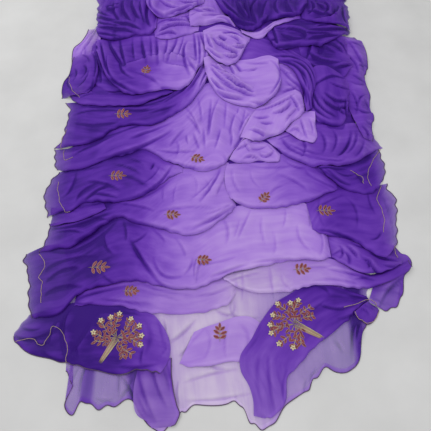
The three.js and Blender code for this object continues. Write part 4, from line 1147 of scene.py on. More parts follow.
# A fold turned under between the left lobe and the swag beside it. Georgette, deep purple. It is
# tucked under both and holds the lobe up from below.
lay(
    "fold_left_c", rise=8, gathers=(24, 3.0, 61),
    shades=[(0, 0.9, 1), (1, 0.92, 1)],
    sections=[
        (-480, 760, -470, 570), (-440, 765, -425, 520), (-395, 755, -375, 500), (-350, 740, -330, 505),
    ],
    creases=[
        (12, 7, -470, 740, -430, 680, -425, 570), (12, 7, -440, 740, -400, 660, -388, 540),
        (12, 6, -460, 660, -430, 600, -420, 540), (10, 6, -400, 740, -370, 700, -350, 640),
    ],
)


# A round lobe of cloth pushed out at the left, where a fold turns back. Georgette. Its folds run
# round it, and its selvedge is turned under the next fold.
lay(
    "lobe_left", rise=9, gathers=(26, 3.0, 40),
    shades=[(0, 0.74, 0.85), (0.4, 0.88, 0.95), (1, 0.92, 0.96)],
    sections=[
        (-560, 700, -470, 700), (-558, 650, -450, 650), (-560, 610, -440, 610), (-574, 575, -440, 570),
        (-574, 530, -448, 530), (-562, 492, -470, 495),
    ],
    creases=[
        (14, 8, -478, 706, -446, 640, -446, 560), (12, 7, -446, 560, -452, 520, -480, 492),
        (12, 6, -530, 700, -500, 690, -470, 640), (10, 5, -545, 610, -552, 560, -510, 500),
        (12, 6, -500, 640, -480, 600, -500, 560), (12, 5, -540, 640, -520, 600, -530, 560),
        (12, 6, -470, 600, -480, 550, -510, 520),
    ],
    across_gathers=True, folded=1.3,
)


# The upper left swag: a smooth band with a sprig, and hanging pleats above it. Georgette. The
# pleats are laid by hand and tucked behind the band, whose lower edge is a loose fold.
lay(
    "swag_c", rise=13, gathers=(30, 3.0, 41),
    shades=[
        (0, 0.8, 0.97), (0.3, 0.86, 1), (0.46, 0.76, 1), (0.58, 0.58, 1), (0.75, 0.52, 1), (1, 0.48, 1),
    ],
    sections=[
        (-475, 770, -450, 690), (-440, 768, -430, 625), (-405, 765, -400, 559), (-370, 770, -358, 509),
        (-325, 785, -319, 488), (-280, 790, -277, 485), (-235, 795, -230, 494), (-190, 798, -185, 505),
        (-150, 800, -138, 502), (-115, 805, -98, 528), (-85, 810, -78, 560), (-55, 815, -58, 610),
        (-12, 820, -6, 655),
    ],
    creases=[
        (18, 9, -414, 790, -388, 700, -330, 604), (16, 8, -374, 790, -352, 690, -326, 600),
        (18, 8, -288, 806, -272, 710, -250, 624), (16, 9, -232, 806, -218, 710, -210, 622),
        (18, 10, -142, 812, -154, 710, -178, 628), (16, 8, -102, 760, -114, 670, -86, 560),
        (16, 10, -54, 840, -42, 752, -8, 680), (14, 12, -78, 640, -210, 662, -352, 600),
        (14, 6, -398, 566, -340, 520, -276, 486), (10, -7, -200, 507, -186, 509, -160, 503),
        (12, 5, -324, 790, -314, 710, -300, 640), (12, 6, -256, 800, -244, 720, -236, 640),
        (14, 7, -186, 800, -184, 720, -190, 634), (12, 6, -122, 800, -128, 720, -144, 640),
        (14, 7, -84, 830, -74, 740, -66, 630), (14, 7, -446, 760, -424, 680, -400, 590),
        (14, 7, -474, 720, -446, 620, -432, 530), (12, 6, -404, 660, -396, 590, -360, 530),
        (14, 6, -110, 660, -70, 590, -50, 550), (14, 7, -66, 810, -54, 700, -56, 580),
        (10, 5, -90, 600, -130, 612, -200, 630), (12, 7, -28, 720, -34, 640, -28, 570),
        (12, 5, -354, 650, -342, 590, -296, 556), (12, 4, -300, 590, -240, 560, -200, 520),
    ],
    folded=1.35,
)


# Narrow rolled pleats between the upper bunches. Georgette. They are rolled by hand side by side
# and tucked under the bunch at the left.
lay(
    "pleats_top", rise=8, gathers=(22, 4.0, 42),
    shades=[(0, 0.66, 1), (1, 0.52, 1)],
    sections=[
        (-258, 888, -238, 784), (-202, 905, -196, 766), (-150, 925, -152, 778), (-100, 940, -104, 800),
        (-58, 945, -68, 824),
    ],
    creases=[
        (12, 8, -240, 858, -186, 894, -112, 872), (12, 8, -232, 806, -170, 852, -88, 846),
        (10, 7, -240, 790, -180, 806, -150, 790), (10, -7, -208, 884, -172, 880, -140, 864),
        (10, 6, -120, 920, -100, 880, -70, 850), (10, 6, -160, 905, -130, 900, -90, 920),
        (8, -6, -216, 838, -186, 846, -160, 842),
    ],
    across_gathers=True, folded=1.6,
)


# Light cloth that falls between the two upper bunches. Georgette. It is soft and unpressed, and
# both of its ends are tucked under other folds.
lay(
    "light_fall", rise=8, gathers=(24, 4.0, 43),
    shades=[(0, 0.5, 1), (1, 0.5, 1)],
    sections=[
        (-110, 1010, -105, 860), (-60, 1030, -55, 870), (-10, 1040, -5, 890), (40, 1020, 40, 880),
    ],
    creases=[
        (10, 7, -120, 902, -60, 900, -10, 905), (10, 6, -90, 880, -40, 850, -20, 800),
        (10, 6, -110, 840, -70, 830, -50, 800), (9, 6, -60, 930, -30, 940, 0, 930),
        (9, 6, -100, 950, -60, 930, -40, 910), (9, 6, -70, 860, -40, 870, 0, 860),
    ],
    across_gathers=True, folded=1.5,
)


# The crumpled middle's lower half: S-shaped folds pressed together. Georgette, lavender. It is
# pushed together by hand, so that the folds stand on edge, and isn't sewn.
lay(
    "rosette_low", rise=13, gathers=(24, 5.0, 44),
    shades=[(0, 0.42, 1), (1, 0.42, 1)],
    sections=[
        (-45, 640, -38, 588), (-5, 660, -18, 530), (30, 665, 15, 475), (65, 660, 60, 443),
        (105, 655, 110, 430), (145, 660, 150, 424), (180, 672, 190, 452), (210, 676, 226, 500),
        (238, 655, 246, 560),
    ],
    creases=[
        (12, -10, 20, 606, 52, 566, 90, 520), (12, -9, 66, 646, 84, 618, 96, 588),
        (11, 8, -16, 604, 20, 556, 70, 506), (12, 10, 4, 592, 50, 548, 112, 488),
        (12, 10, 14, 570, 82, 522, 136, 500), (12, 9, 8, 502, 42, 470, 104, 462),
        (16, 9, 206, 660, 250, 580, 196, 462), (10, 8, 45, 664, 64, 604, 76, 574),
        (10, 7, 100, 602, 130, 598, 156, 612), (12, 9, -10, 620, 30, 580, 90, 540),
        (12, 8, 20, 545, 80, 500, 150, 470), (10, 8, -14, 560, 10, 520, 40, 490),
        (10, 6, 120, 448, 180, 440, 220, 474), (10, 7, 30, 650, 20, 620, 0, 600),
        (12, -9, 60, 530, 100, 506, 140, 486), (14, -6, 110, 640, 160, 634, 204, 640),
    ],
    folded=1.5,
)


# The crumpled middle's upper half, twisted tighter, with small hollows. Georgette. The cloth is
# turned round on itself and holds by the friction of the crepe.
lay(
    "rosette_high", rise=12, gathers=(22, 5.0, 45),
    shades=[(0, 0.44, 1), (1, 0.46, 1)],
    sections=[
        (-50, 822, -40, 690), (-15, 845, -12, 646), (15, 858, 22, 622), (50, 848, 58, 626),
        (85, 830, 92, 662), (115, 805, 112, 712), (138, 782, 132, 752),
    ],
    creases=[
        (12, -12, 26, 800, 60, 806, 92, 792), (11, 8, 62, 716, 90, 712, 112, 726),
        (10, 7, -6, 760, 10, 730, 40, 716), (15, -15, 14, 778, 28, 768, 42, 756),
        (14, -15, 84, 736, 92, 730, 102, 724), (12, -9, 60, 690, 72, 682, 84, 678),
        (12, 9, -30, 812, 40, 822, 116, 770), (10, 8, 50, 790, 84, 766, 96, 744),
        (10, 9, -34, 790, -22, 730, -4, 690), (10, 8, 16, 742, 46, 704, 96, 690),
        (10, 8, 30, 672, 60, 660, 84, 680), (10, 8, -20, 850, 20, 860, 70, 830),
        (10, 7, -30, 700, 0, 660, 30, 650),
    ],
    folded=1.6,
)


# A soft roll of light cloth across the top of the crumpled middle. Georgette. It is rolled by hand
# two or three times and tucked in at its right end.
lay(
    "roll_mid", rise=10, gathers=(20, 3.0, 46),
    shades=[(0, 0.5, 1), (1, 0.46, 1)],
    sections=[
        (-105, 880, -100, 835), (-60, 905, -55, 850), (-10, 915, -5, 865), (40, 908, 38, 868),
        (85, 880, 80, 842),
    ],
    creases=[
        (10, 7, -60, 885, 0, 905, 52, 900), (10, 7, 40, 900, 90, 860, 150, 800),
        (10, 6, -40, 860, 20, 872, 60, 860), (9, 5, 80, 850, 120, 820, 170, 790),
        (9, 5, 0, 880, 40, 880, 80, 840),
    ],
    folded=1.7,
)


# The dark tier below the upper right bunch. Georgette in many layers. Its lower edge is a long
# rolled fold, and the selvedge shows at its right end.
lay(
    "tier_right", rise=12, gathers=(28, 3.6, 47),
    shades=[(0, 0.86, 1), (0.4, 0.95, 1), (1, 0.88, 0.92)],
    sections=[
        (175, 865, 215, 760), (215, 880, 241, 710), (265, 890, 285, 718), (315, 895, 331, 728),
        (360, 890, 375, 728), (405, 888, 410, 730), (450, 885, 448, 757), (500, 880, 496, 793),
        (548, 876, 540, 832),
    ],
    creases=[
        (12, 7, 100, 722, 200, 712, 332, 742), (12, 7, 236, 832, 340, 812, 350, 756),
        (10, 5, 196, 746, 210, 740, 226, 736), (12, 7, 372, 822, 470, 832, 540, 852),
        (12, 7, 360, 760, 420, 780, 500, 800), (12, 6, 120, 760, 180, 756, 240, 770),
        (12, 6, 250, 700, 320, 706, 400, 740), (12, 6, 230, 840, 240, 780, 246, 720),
        (10, 6, 150, 690, 210, 686, 280, 690), (10, 6, 340, 800, 400, 790, 460, 800),
        (12, 6, 260, 800, 300, 770, 340, 770), (10, 6, 400, 840, 440, 860, 500, 870),
        (10, -6, 240, 716, 270, 714, 300, 716),
    ],
    folded=1.4,
)


# A pale strip of the cloth's middle that shows between two dark folds. Georgette. It is the edge of
# a fold that runs on under both of its neighbours.
lay(
    "light_strip", rise=6, gathers=(16, 2.5, 48),
    shades=[(0, 0.46, 1), (0.6, 0.46, 1), (0.85, 0.6, 1), (1, 0.8, 1)],
    sections=[
        (100, 830, 105, 795), (150, 815, 150, 775), (195, 830, 190, 780), (235, 870, 235, 835),
        (300, 905, 295, 870), (345, 918, 345, 890),
    ],
    creases=[
        (8, 5, 180, 800, 210, 830, 250, 870), (8, 5, 150, 790, 190, 800, 230, 830),
        (8, 4, 200, 860, 230, 890, 260, 900),
    ],
)


# The bunch at the upper right corner, its selvedge outside. Georgette, deep purple. Its folds are
# laid one on another by hand, and the lowest one touches the floor.
lay(
    "bunch_right", rise=12, gathers=(30, 4.5, 49),
    shades=[(0, 0.95, 1), (1, 0.88, 0.9)],
    sections=[
        (340, 1110, 350, 892), (400, 1115, 400, 868), (460, 1110, 460, 858), (515, 1095, 520, 850),
        (560, 1070, 546, 844, 556, 960),
    ],
    creases=[
        (12, 8, 542, 992, 530, 930, 542, 872), (12, 7, 500, 962, 482, 902, 402, 882),
        (12, 7, 520, 990, 500, 930, 460, 880), (10, 7, 420, 982, 440, 966, 450, 950),
        (10, 6, 380, 940, 420, 920, 500, 900), (10, 6, 550, 860, 520, 850, 480, 850),
        (12, 7, 460, 1000, 470, 950, 440, 900), (12, 6, 400, 1000, 410, 950, 380, 910),
    ],
    across_gathers=True, folded=1.4,
)


# The upper left bunch of hanging folds. Georgette, deep purple. The folds hang side by side and are
# gathered into the crumple at their right.
lay(
    "top_left_bunch", rise=14, gathers=(34, 4.5, 50),
    shades=[(0, 0.84, 0.92), (0.4, 0.94, 1), (0.8, 0.86, 1), (1, 0.7, 1)],
    sections=[
        (-518, 1080, -488, 862, -494, 960), (-470, 1110, -461, 790), (-420, 1120, -412, 768),
        (-370, 1125, -373, 772), (-320, 1128, -319, 796), (-270, 1128, -265, 797), (-240, 1125, -236, 830),
    ],
    creases=[
        (14, 9, -342, 1002, -332, 942, -300, 882), (16, 9, -262, 1002, -272, 902, -250, 832),
        (12, 8, -452, 992, -432, 952, -402, 962), (14, 8, -502, 952, -452, 902, -402, 882),
        (14, 8, -422, 872, -350, 852, -290, 822), (14, 8, -482, 852, -402, 832, -300, 802),
        (12, 8, -380, 1000, -370, 930, -330, 860), (12, 7, -490, 1000, -470, 940, -420, 900),
        (12, 7, -420, 1000, -410, 930, -380, 870), (12, 7, -310, 1000, -300, 930, -280, 860),
        (12, 7, -480, 900, -440, 860, -380, 840), (12, 7, -240, 960, -236, 900, -240, 850),
        (10, -7, -400, 772, -380, 768, -350, 780), (12, 6, -500, 830, -440, 800, -360, 780),
        (10, -7, -460, 985, -430, 975, -400, 985),
    ],
    across_gathers=True, folded=1.2,
)


# The light bulge in the middle of the upper edge. Georgette, loosely rolled by hand. It is rolled
# over air rather than filled, and tucked in at both sides.
lay(
    "top_mid_bulge", rise=14, gathers=(32, 4.5, 51),
    shades=[(0, 0.72, 1), (0.4, 0.58, 1), (1, 0.52, 1)],
    sections=[
        (-295, 1120, -290, 1005), (-265, 1130, -278, 943), (-230, 1134, -240, 900),
        (-180, 1136, -190, 895), (-130, 1136, -135, 920), (-85, 1132, -92, 944), (-40, 1120, -47, 979),
    ],
    creases=[
        (14, 7, -262, 1010, -252, 925, -190, 902), (12, 6, -102, 962, -80, 945, -50, 942),
        (12, 7, -210, 900, -140, 935, -96, 960), (10, 7, -150, 1000, -110, 978, -60, 976),
        (12, 6, -230, 1000, -196, 960, -140, 940), (9, -7, -50, 984, -44, 966, -28, 950),
        (9, -7, -42, 922, -28, 914, -12, 912), (12, 7, -60, 1010, -68, 970, -50, 936),
        (12, 6, -188, 920, -120, 905, -60, 924), (12, 6, -120, 1020, -90, 1000, -50, 1010),
    ],
    across_gathers=True, folded=1.4,
)


# The upper right bunch, folded and pushed together. Georgette, deep purple. Its folds sweep down
# from the far end and are tucked under the pale strip.
lay(
    "top_right_bunch", rise=14, gathers=(30, 5.0, 52),
    shades=[(0, 0.86, 1), (0.3, 1.0, 1), (1, 0.92, 1)],
    sections=[
        (-30, 1110, -5, 1005), (30, 1125, 42, 899), (70, 1132, 76, 857), (108, 1134, 109, 819),
        (140, 1134, 140, 812), (175, 1134, 175, 840), (215, 1132, 215, 877), (260, 1130, 260, 884),
        (310, 1126, 312, 890), (350, 1118, 350, 920), (390, 1105, 380, 970),
    ],
    creases=[
        (16, 10, 4, 1002, 40, 902, 102, 852), (14, 9, 92, 992, 112, 922, 132, 882),
        (14, 9, 182, 1002, 152, 932, 172, 852), (12, 7, 340, 922, 370, 962, 392, 1002),
        (12, 8, 250, 892, 310, 890, 342, 872), (12, 8, 30, 1000, 70, 920, 110, 860),
        (12, 8, 130, 1000, 130, 940, 150, 880), (12, 7, 220, 1000, 200, 930, 190, 880),
        (12, 7, 260, 1000, 250, 950, 262, 900), (10, -7, 260, 882, 290, 878, 320, 880),
        (12, 7, 300, 1000, 300, 950, 320, 900), (12, 7, 60, 880, 100, 850, 160, 850),
        (10, 7, 180, 860, 200, 870, 210, 900), (12, 7, -30, 990, -10, 940, 20, 910),
        (10, 6, 330, 900, 350, 890, 380, 900),
    ],
    across_gathers=True, folded=1.3,
)


# The far end of the heap, where the last folds come down to the floor. Georgette, plainly laid. It
# is folded under at its lower edge, and both of its selvedges lie straight.
lay(
    "top_end", rise=6, gathers=(36, 3.0, 53),
    shades=[(0, 0.85, 0.96), (0.5, 0.6, 0.98), (1, 0.85, 0.96)],
    sections=[
        (-520, 1070, -520, 1128), (-400, 1085, -395, 1150), (-250, 1092, -245, 1160),
        (-90, 1095, -90, 1164), (80, 1095, 80, 1164), (250, 1092, 250, 1160), (410, 1080, 415, 1148),
        (560, 1040, 572, 1110),
    ],
    creases=[
        (14, 7, -500, 1085, -400, 1120, -300, 1128), (14, 7, -330, 1100, -200, 1108, -80, 1140),
        (14, 7, -150, 1110, 0, 1120, 160, 1105), (14, 7, 60, 1140, 200, 1130, 330, 1104),
        (14, 7, 300, 1140, 400, 1110, 500, 1092), (12, 6, -470, 1110, -430, 1136, -380, 1140),
        (12, 6, -240, 1140, -160, 1150, -60, 1150), (10, 5, 420, 1080, 470, 1070, 520, 1072),
        (12, -6, -60, 1104, 40, 1100, 120, 1112), (10, 6, -420, 1095, -410, 1115, -405, 1140),
        (10, 6, -120, 1100, -110, 1125, -100, 1150), (10, 6, 240, 1100, 230, 1125, 226, 1150),
    ],
    folded=1.4,
)


# Painted shade and highlight: the cloth's colour is darkened down in the hollows between folds, where shade
# falls, and lightened on the crests, where light falls. The piece is the same georgette throughout, and its
# dye doesn't change here.
SHADE_REACH = 7             # map cells looked at round a point
FULL_SHADE_DEPTH = 7.0           # millimetres below the cloth around it, for the deepest painted shade

around = softened(heap, SHADE_REACH)
for piece, x, y, z in cloth_pieces.values():
    layer = piece.data.attributes["hollow"]
    place = np.empty(len(piece.data.vertices) * 3)
    piece.data.vertices.foreach_get("co", place)
    place = place.reshape(-1, 3)
    plan_x = (place[:, 0] - plan_to_row[0]) / MM
    plan_y = (place[:, 1] - plan_to_row[1]) / MM
    level = read_map(around, plan_x, plan_y) - place[:, 2] / MM
    # below the cloth around: painted shade; above it (down to -0.5): painted highlight
    layer.data.foreach_set("value", np.clip(level / FULL_SHADE_DEPTH, -0.5, 1.0).astype(np.float32))


# The overlock stitching: brown thread closely wound over the cloth's cut edges, and a bronze line
# where a selvedge lies on the cloth. It is sewn on by machine before the saree is worn.
EDGE_RADIUS = 1.3            # millimetres
LINE_RADIUS = 0.936          # of the bronze line, millimetres
BROWN, BRONZE = 0.1, 0.8
CUT_EDGES = [
    # stretch, which edge: front or back run along it, start or stop cross its ends
    ("hem_sheet", "front"), ("leg_left", "front"), ("side_right_low", "front"), ("side_right_mid", "front"),
    ("side_left_sheer", "back"), ("lobe_left", "back"), ("swag_h", "start"), ("swag_g", "start"),
    ("swag_f", "start"), ("swag_e", "start"), ("swag_d", "start"), ("corner_left", "front"),
    ("panel_right", "stop"), ("fold_k2", "stop"), ("swag_low_right", "stop"), ("tri_right", "front"),
    ("top_end", "back"),
]
BRONZE_LINES = [
    # x and y in the plan by turns, one row for each line seen on the cloth
    (
        -552, -397, -509, -389, -492, -401, -474, -408, -463, -385, -454, -355, -420, -381,
        -405, -416, -404, -453,
    ),
    (365, -303, 404, -292, 443, -278, 462, -299), (467, -309, 452, -336, 428, -346, 408, -336, 392, -317),
    (-537, -135, -509, -171, -520, -208, -507, -230, -504, -264, -499, -289),
    (547, 111, 523, 56, 532, 9, 529, -31, 518, -66), (-519, 122, -514, 89, -500, 46, -478, 9, -461, 4),
    (446, 158, 479, 136, 484, 108), (571, 261, 537, 213, 515, 173, 503, 139, 507, 100),
    (-557, 596, -545, 551, -524, 509, -495, 481), (546, -110, 548, -150), (-480, 212, -510, 205, -520, 250),
    (-526, 340, -536, 300, -530, 255),
]


def thread_finish():
    """Polyester thread, brown on the cut edges and bronze on the selvedges, twisted so that it glints."""
    material, tree, shader, wire = start_material("edge_thread")
    tone = wire.node("ShaderNodeAttribute", {"attribute_name": "tone"}, out=2)
    place = wire.node("ShaderNodeTexCoord", out=3)
    twist = wire.node("ShaderNodeTexNoise", None, {"Vector": place, "Scale": 260.0, "Detail": 1.0})
    colour = wire.node("ShaderNodeValToRGB", {"stops": [
        (0.0, srgb(70, 48, 84)), (0.5, srgb(110, 84, 110)), (1.0, srgb(184, 156, 138)),
    ]}, {"Fac": tone + (twist - 0.5) * 0.5})
    tree.links.new(colour.socket, shader.inputs["Base Color"])
    shader.inputs["Roughness"].default_value = 0.5
    shader.inputs["Metallic"].default_value = 0.15
    return material


def sewn_thread(name, lines, tone, radius):
    """One piece of thread along lines of plan points: a curve with a round section, made a mesh."""
    curve = bpy.data.curves.new(name, "CURVE")
    curve.dimensions = "3D"
    curve.bevel_depth = radius * MM
    curve.bevel_resolution = 1
    curve.use_fill_caps = True
    for px, py, pz in lines:
        spline = curve.splines.new("POLY")
        spline.points.add(len(px) - 1)
        level = np.maximum(pz, radius + 0.1) * MM
        spots = (px * MM + plan_to_row[0], py * MM + plan_to_row[1], level, np.ones(len(px)))
        spline.points.foreach_set("co", np.stack(spots, axis=1).ravel())
    sewn = bpy.data.objects.new(name + "_curve", curve)
    bpy.context.collection.objects.link(sewn)
    mesh = bpy.data.meshes.new_from_object(sewn)
    bpy.data.objects.remove(sewn)
    tones = mesh.attributes.new("tone", "FLOAT", "POINT")
    tones.data.foreach_set("value", np.full(len(mesh.vertices), tone, dtype=np.float32))
    mesh.materials.clear()
    mesh.materials.append(stitching)
    thread = bpy.data.objects.new(name, mesh)
    bpy.context.collection.objects.link(thread)
    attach(thread, "root")


stitching = thread_finish()
overlocked = []
for stretch, which in CUT_EDGES:
    _, x, y, z = cloth_pieces[stretch]
    cut = {
        "front": (slice(None), -1), "back": (slice(None), 0),
        "start": (0, slice(None)), "stop": (-1, slice(None)),
    }[which]
    overlocked.append((x[cut], y[cut], z[cut] + 0.6))
sewn_thread("overlock_thread", overlocked, BROWN, EDGE_RADIUS)
selvedges = []
for row in BRONZE_LINES:
    steps = np.linspace(0, 1, 12 * len(row) // 2)
    wander = 1.2 * np.sin(steps * len(row) * 2.1) + 0.5 * np.sin(steps * len(row) * 4.7)
    line_x, line_y = through(row[0::2], steps) + wander, through(row[1::2], steps) + 0.5 * wander
    selvedges.append((line_x, line_y, read_map(softened(heap, 1, 1), line_x, line_y) + 0.8))
sewn_thread("selvedge_thread", selvedges, BRONZE, LINE_RADIUS)


# The embroidery: small sprigs strewn over the cloth and two blossoming trees at the pallu's corners,
# worked by machine in rust, olive and cream thread, slightly raised from the georgette.
SPRIGS = [
    # centre x, y, the way the tip points in degrees, length in millimetres
    (-259, 592, 80, 52), (-330, 392, 0, 62), (-325, 137, 0, 60), (-347, -183, 0, 66), (-62, 202, -20, 52),
    (-137, -9, 0, 52), (-38, -161, 0, 50), (-247, -254, 0, 50), (12, -375, 90, 54), (255, -187, 5, 54),
    (155, 50, 50, 50), (345, 6, 0, 62),
]
TREES = [
    # trunk's foot x, y, crown's middle x, y: the crown's size is set by TREE_REACH
    (-313, -458, -272, -388), (303, -392, 222, -350),
]
TREE_REACH = 70              # from the crown's middle out to its flowers, millimetres
BRANCHES = 11
BRANCH_APART = 26            # degrees from one branch to the next
BRANCH_BOW = 0.25            # how far a branch bends to either side, radians
FIRST_FLOWER, LAST_FLOWER = 2, 9     # the branches that end in a flower
LEAVES_AT = (-0.5, -0.05, 0.33, 0.68)    # shares of a branch's outer half, from its elbow
RUST, OUTLINE, OLIVE, CREAM = 0.08, 0.34, 0.54, 0.84
FIFTH = 1.257                # a fifth of a turn, from one petal to the next


def embroidery_finish():
    """Embroidery thread from rust through olive to cream, its stitches raised."""
    material, tree, shader, wire = start_material("embroidery_thread")
    tone = wire.node("ShaderNodeAttribute", {"attribute_name": "tone"}, out=2)
    place = wire.node("ShaderNodeTexCoord", out=3)
    stitch = wire.node("ShaderNodeTexNoise", None, {"Vector": place, "Scale": 420.0, "Detail": 1.0})
    colour = wire.node("ShaderNodeValToRGB", {"stops": [
        (0.0, srgb(92, 16, 42)), (0.16, srgb(132, 38, 56)), (0.3, srgb(164, 112, 104)),
        (0.42, srgb(158, 124, 112)),
        (0.56, srgb(140, 124, 92)), (0.8, srgb(190, 176, 138)), (1.0, srgb(226, 216, 186)),
    ]}, {"Fac": tone + (stitch - 0.5) * 0.28})
    bump = wire.node("ShaderNodeBump", None, {"Strength": 0.5, "Distance": 0.0005, "Height": stitch})
    tree.links.new(colour.socket, shader.inputs["Base Color"])
    tree.links.new(bump.socket, shader.inputs["Normal"])
    shader.inputs["Roughness"].default_value = 0.45
    return material


stitches = []                # x, y, angle, length, width, tone, height of every padded stitch


def petal(x, y, angle, length, width, tone, height=0.6):
    """One padded stitch from its foot at x and y, height above the cloth in millimetres."""
    stitches.append((x, y, angle, length, width, tone, height))


def leaf(x, y, angle, length, width, tone):
    """A rust leaf worked inside an outline of lighter thread."""
    petal(x, y, angle, length, width, OUTLINE)
    inset = 0.12 * length
    inner_x, inner_y = x + inset * math.cos(angle), y + inset * math.sin(angle)
    petal(inner_x, inner_y, angle, 0.8 * length, 0.62 * width, tone, 1.1)


def sprig(x, y, degrees, length, seed):
    """A stem with three pairs of leaves and one at its tip."""
    draw = np.random.default_rng(seed)
    way = math.radians(degrees)
    foot_x, foot_y = x - length / 2 * math.cos(way), y - length / 2 * math.sin(way)
    petal(foot_x, foot_y, way, length * 0.8, 2.4, OLIVE)
    for share, spread, size in ((0.22, 66, 0.32), (0.42, 60, 0.36), (0.62, 50, 0.30)):
        for side in (-1, 1):
            spin = way + side * math.radians(spread + draw.uniform(-8, 8))
            at_x, at_y = foot_x + share * length * math.cos(way), foot_y + share * length * math.sin(way)
            leaf(at_x, at_y, spin, length * size * 1.16, 11, RUST + draw.uniform(-0.06, 0.06))
    tip_x, tip_y = foot_x + 0.7 * length * math.cos(way), foot_y + 0.7 * length * math.sin(way)
    leaf(tip_x, tip_y, way, length * 0.36, 9, RUST)


def tree_of_blossom(foot_x, foot_y, crown_x, crown_y, seed):
    """A trunk of strands, bowed branches with leaves, and a flower at the end of most branches."""
    draw = np.random.default_rng(seed)
    lean = math.atan2(crown_y - foot_y, crown_x - foot_x)
    reach = math.hypot(crown_x - foot_x, crown_y - foot_y)
    for bend in (-0.30, -0.18, -0.06, 0.06, 0.18, 0.30):
        side_x, side_y = -12 * bend * math.sin(lean), 12 * bend * math.cos(lean)
        strand_tone = OLIVE + 0.16 * math.sin(17 * bend)
        petal(foot_x + side_x, foot_y + side_y, lean + 0.2 * bend, reach * 1.08, 3.4, strand_tone, 0.9)
    for k in range(BRANCHES):
        middle_branch = (BRANCHES - 1) / 2
        turn = lean + math.radians(BRANCH_APART * (k - middle_branch)) + draw.uniform(-0.08, 0.08)
        far = TREE_REACH * draw.uniform(0.88, 1.06)
        bow = draw.choice((-BRANCH_BOW, BRANCH_BOW))
        elbow_x = crown_x + 0.5 * far * math.cos(turn + bow)
        elbow_y = crown_y + 0.5 * far * math.sin(turn + bow)
        end_x, end_y = crown_x + far * math.cos(turn), crown_y + far * math.sin(turn)
        onward = math.atan2(end_y - elbow_y, end_x - elbow_x)
        outer = math.hypot(end_x - elbow_x, end_y - elbow_y)
        petal(crown_x, crown_y, turn + bow, 0.54 * far, 2.6, OLIVE)
        petal(elbow_x, elbow_y, onward, outer, 2.2, OLIVE + 0.1)
        if FIRST_FLOWER <= k <= LAST_FLOWER:
            for p in range(5):
                petal(end_x, end_y, turn + p * FIFTH, 8.5, 5.6, CREAM - 0.06 * (p % 2), 1.9)
            petal(end_x - 1.5, end_y, 0, 3, 3, RUST, 2.6)
        for share in LEAVES_AT:
            at_x = elbow_x + share * outer * math.cos(onward)
            at_y = elbow_y + share * outer * math.sin(onward)
            for side in (-1, 1):
                spin = onward + side * math.radians(46 + draw.uniform(-14, 14))
                leaf(at_x, at_y, spin, 16 + draw.uniform(-3, 4), 8.5, RUST + draw.uniform(-0.06, 0.06))


for k, row in enumerate(SPRIGS):
    sprig(*row, 60 + k)
for k, row in enumerate(TREES):
    tree_of_blossom(*row, 80 + k)
petal_body = bmesh.new()
bmesh.ops.create_uvsphere(petal_body, u_segments=8, v_segments=5, radius=1)
petal_mesh = bpy.data.meshes.new("petal")
petal_body.to_mesh(petal_mesh)
petal_body.free()
stitch_body = bmesh.new()
for _ in stitches:
    stitch_body.from_mesh(petal_mesh)
stitch_mesh = bpy.data.meshes.new("embroidery")
stitch_body.to_mesh(stitch_mesh)
stitch_body.free()
bpy.data.meshes.remove(petal_mesh)
spots = np.empty(len(stitch_mesh.vertices) * 3)
stitch_mesh.vertices.foreach_get("co", spots)
spots = spots.reshape(len(stitches), -1, 3)
foot_x, foot_y, angle, length, width, tone, height = (column[:, None] for column in np.array(stitches).T)
along = (spots[:, :, 0] + 1) * length / 2
aside = spots[:, :, 1] * width / 2 * (0.7 + 0.3 * np.sin(np.pi * (spots[:, :, 0] + 1) / 2))
stitch_x = foot_x + along * np.cos(angle) - aside * np.sin(angle)
stitch_y = foot_y + along * np.sin(angle) + aside * np.cos(angle)
stitch_z = read_map(softened(heap, 1, 1), stitch_x, stitch_y) + height + 0.7 * spots[:, :, 2]
places = (stitch_x * MM + plan_to_row[0], stitch_y * MM + plan_to_row[1], stitch_z * MM)
stitch_mesh.vertices.foreach_set("co", np.stack(places, axis=2).ravel())
stitch_tone = stitch_mesh.attributes.new("tone", "FLOAT", "POINT")
stitch_tone.data.foreach_set("value", np.broadcast_to(tone, stitch_x.shape).ravel().astype(np.float32))
stitch_mesh.polygons.foreach_set("use_smooth", np.ones(len(stitch_mesh.polygons), dtype=bool))
stitch_mesh.update()
embroidery = bpy.data.objects.new("embroidery", stitch_mesh)
bpy.context.collection.objects.link(embroidery)
stitch_mesh.materials.append(embroidery_finish())
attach(embroidery, "root")


# The plain pale floor that the saree lies on, matt and faintly creased. Two soft lamps and a
# bright room light it, and the camera stands where the photograph was taken from.
CAMERA_PLAN = (0, -680, 1264)        # millimetres in the plan
CAMERA_DOWN = 61.7                   # degrees below level
FOCAL_PIXELS = 450.0
PHOTO_WIDTH = 431
SENSOR = 36.0                        # millimetres
FLOOR_HALF = 6                       # metres from the middle to each edge
ROOM_GLOW = 0.6

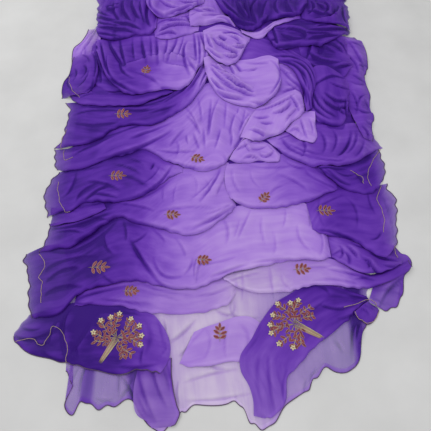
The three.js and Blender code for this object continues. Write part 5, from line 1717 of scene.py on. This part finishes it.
floor_mesh = bpy.data.meshes.new("floor")
floor_body = bmesh.new()
bmesh.ops.create_grid(floor_body, x_segments=1, y_segments=1, size=FLOOR_HALF)
floor_body.to_mesh(floor_mesh)
floor_body.free()
floor = bpy.data.objects.new("floor", floor_mesh)
bpy.context.collection.objects.link(floor)
floor_finish, floor_tree, floor_shader, floor_wire = start_material("pale_floor")
floor_place = floor_wire.node("ShaderNodeTexCoord", out=3)
floor_folds = floor_wire.node("ShaderNodeTexNoise", None, {
    "Vector": floor_place, "Scale": 5.0, "Detail": 4.0})
floor_colour = floor_wire.node("ShaderNodeValToRGB", {"stops": [
    (0.3, srgb(198, 198, 196)), (0.7, srgb(208, 208, 206))]}, {"Fac": floor_folds})
floor_bump = floor_wire.node("ShaderNodeBump", None, {
    "Strength": 0.3, "Distance": 0.01, "Height": floor_folds})
floor_tree.links.new(floor_colour.socket, floor_shader.inputs["Base Color"])
floor_tree.links.new(floor_bump.socket, floor_shader.inputs["Normal"])
floor_shader.inputs["Roughness"].default_value = 0.9
floor_mesh.materials.append(floor_finish)

world = bpy.data.worlds.new("soft_room")
world.use_nodes = True
world.node_tree.nodes["Background"].inputs["Color"].default_value = (0.97, 0.97, 1.0, 1.0)
world.node_tree.nodes["Background"].inputs["Strength"].default_value = ROOM_GLOW
bpy.context.scene.world = world
bpy.context.scene.view_settings.view_transform = "Standard"

LAMPS = [
    # name, place in metres, size, power in watts
    ("window_light", (-1.9, 1.1, 2.9), 2.4, 54.0),
    ("fill_light", (1.6, -1.8, 2.8), 2.5, 32.0),
]
for lamp_name, lamp_place, lamp_size, lamp_power in LAMPS:
    lamp_data = bpy.data.lights.new(lamp_name, "AREA")
    lamp_data.size = lamp_size
    lamp_data.energy = lamp_power
    lamp = bpy.data.objects.new(lamp_name, lamp_data)
    lamp.location = lamp_place
    direction = -np.array(lamp_place) / np.linalg.norm(lamp_place)
    toward = math.atan2(direction[1], direction[0])
    lamp.rotation_euler = (math.acos(-direction[2]), 0, toward - math.pi / 2)
    bpy.context.collection.objects.link(lamp)

camera_data = bpy.data.cameras.new("camera")
camera_data.sensor_width = SENSOR
camera_data.lens = FOCAL_PIXELS / PHOTO_WIDTH * SENSOR
camera = bpy.data.objects.new("camera", camera_data)
camera.location = (
    CAMERA_PLAN[0] * MM + plan_to_row[0], CAMERA_PLAN[1] * MM + plan_to_row[1], CAMERA_PLAN[2] * MM)
camera.rotation_euler = (math.radians(90 - CAMERA_DOWN), 0, 0)
bpy.context.collection.objects.link(camera)
bpy.context.scene.camera = camera
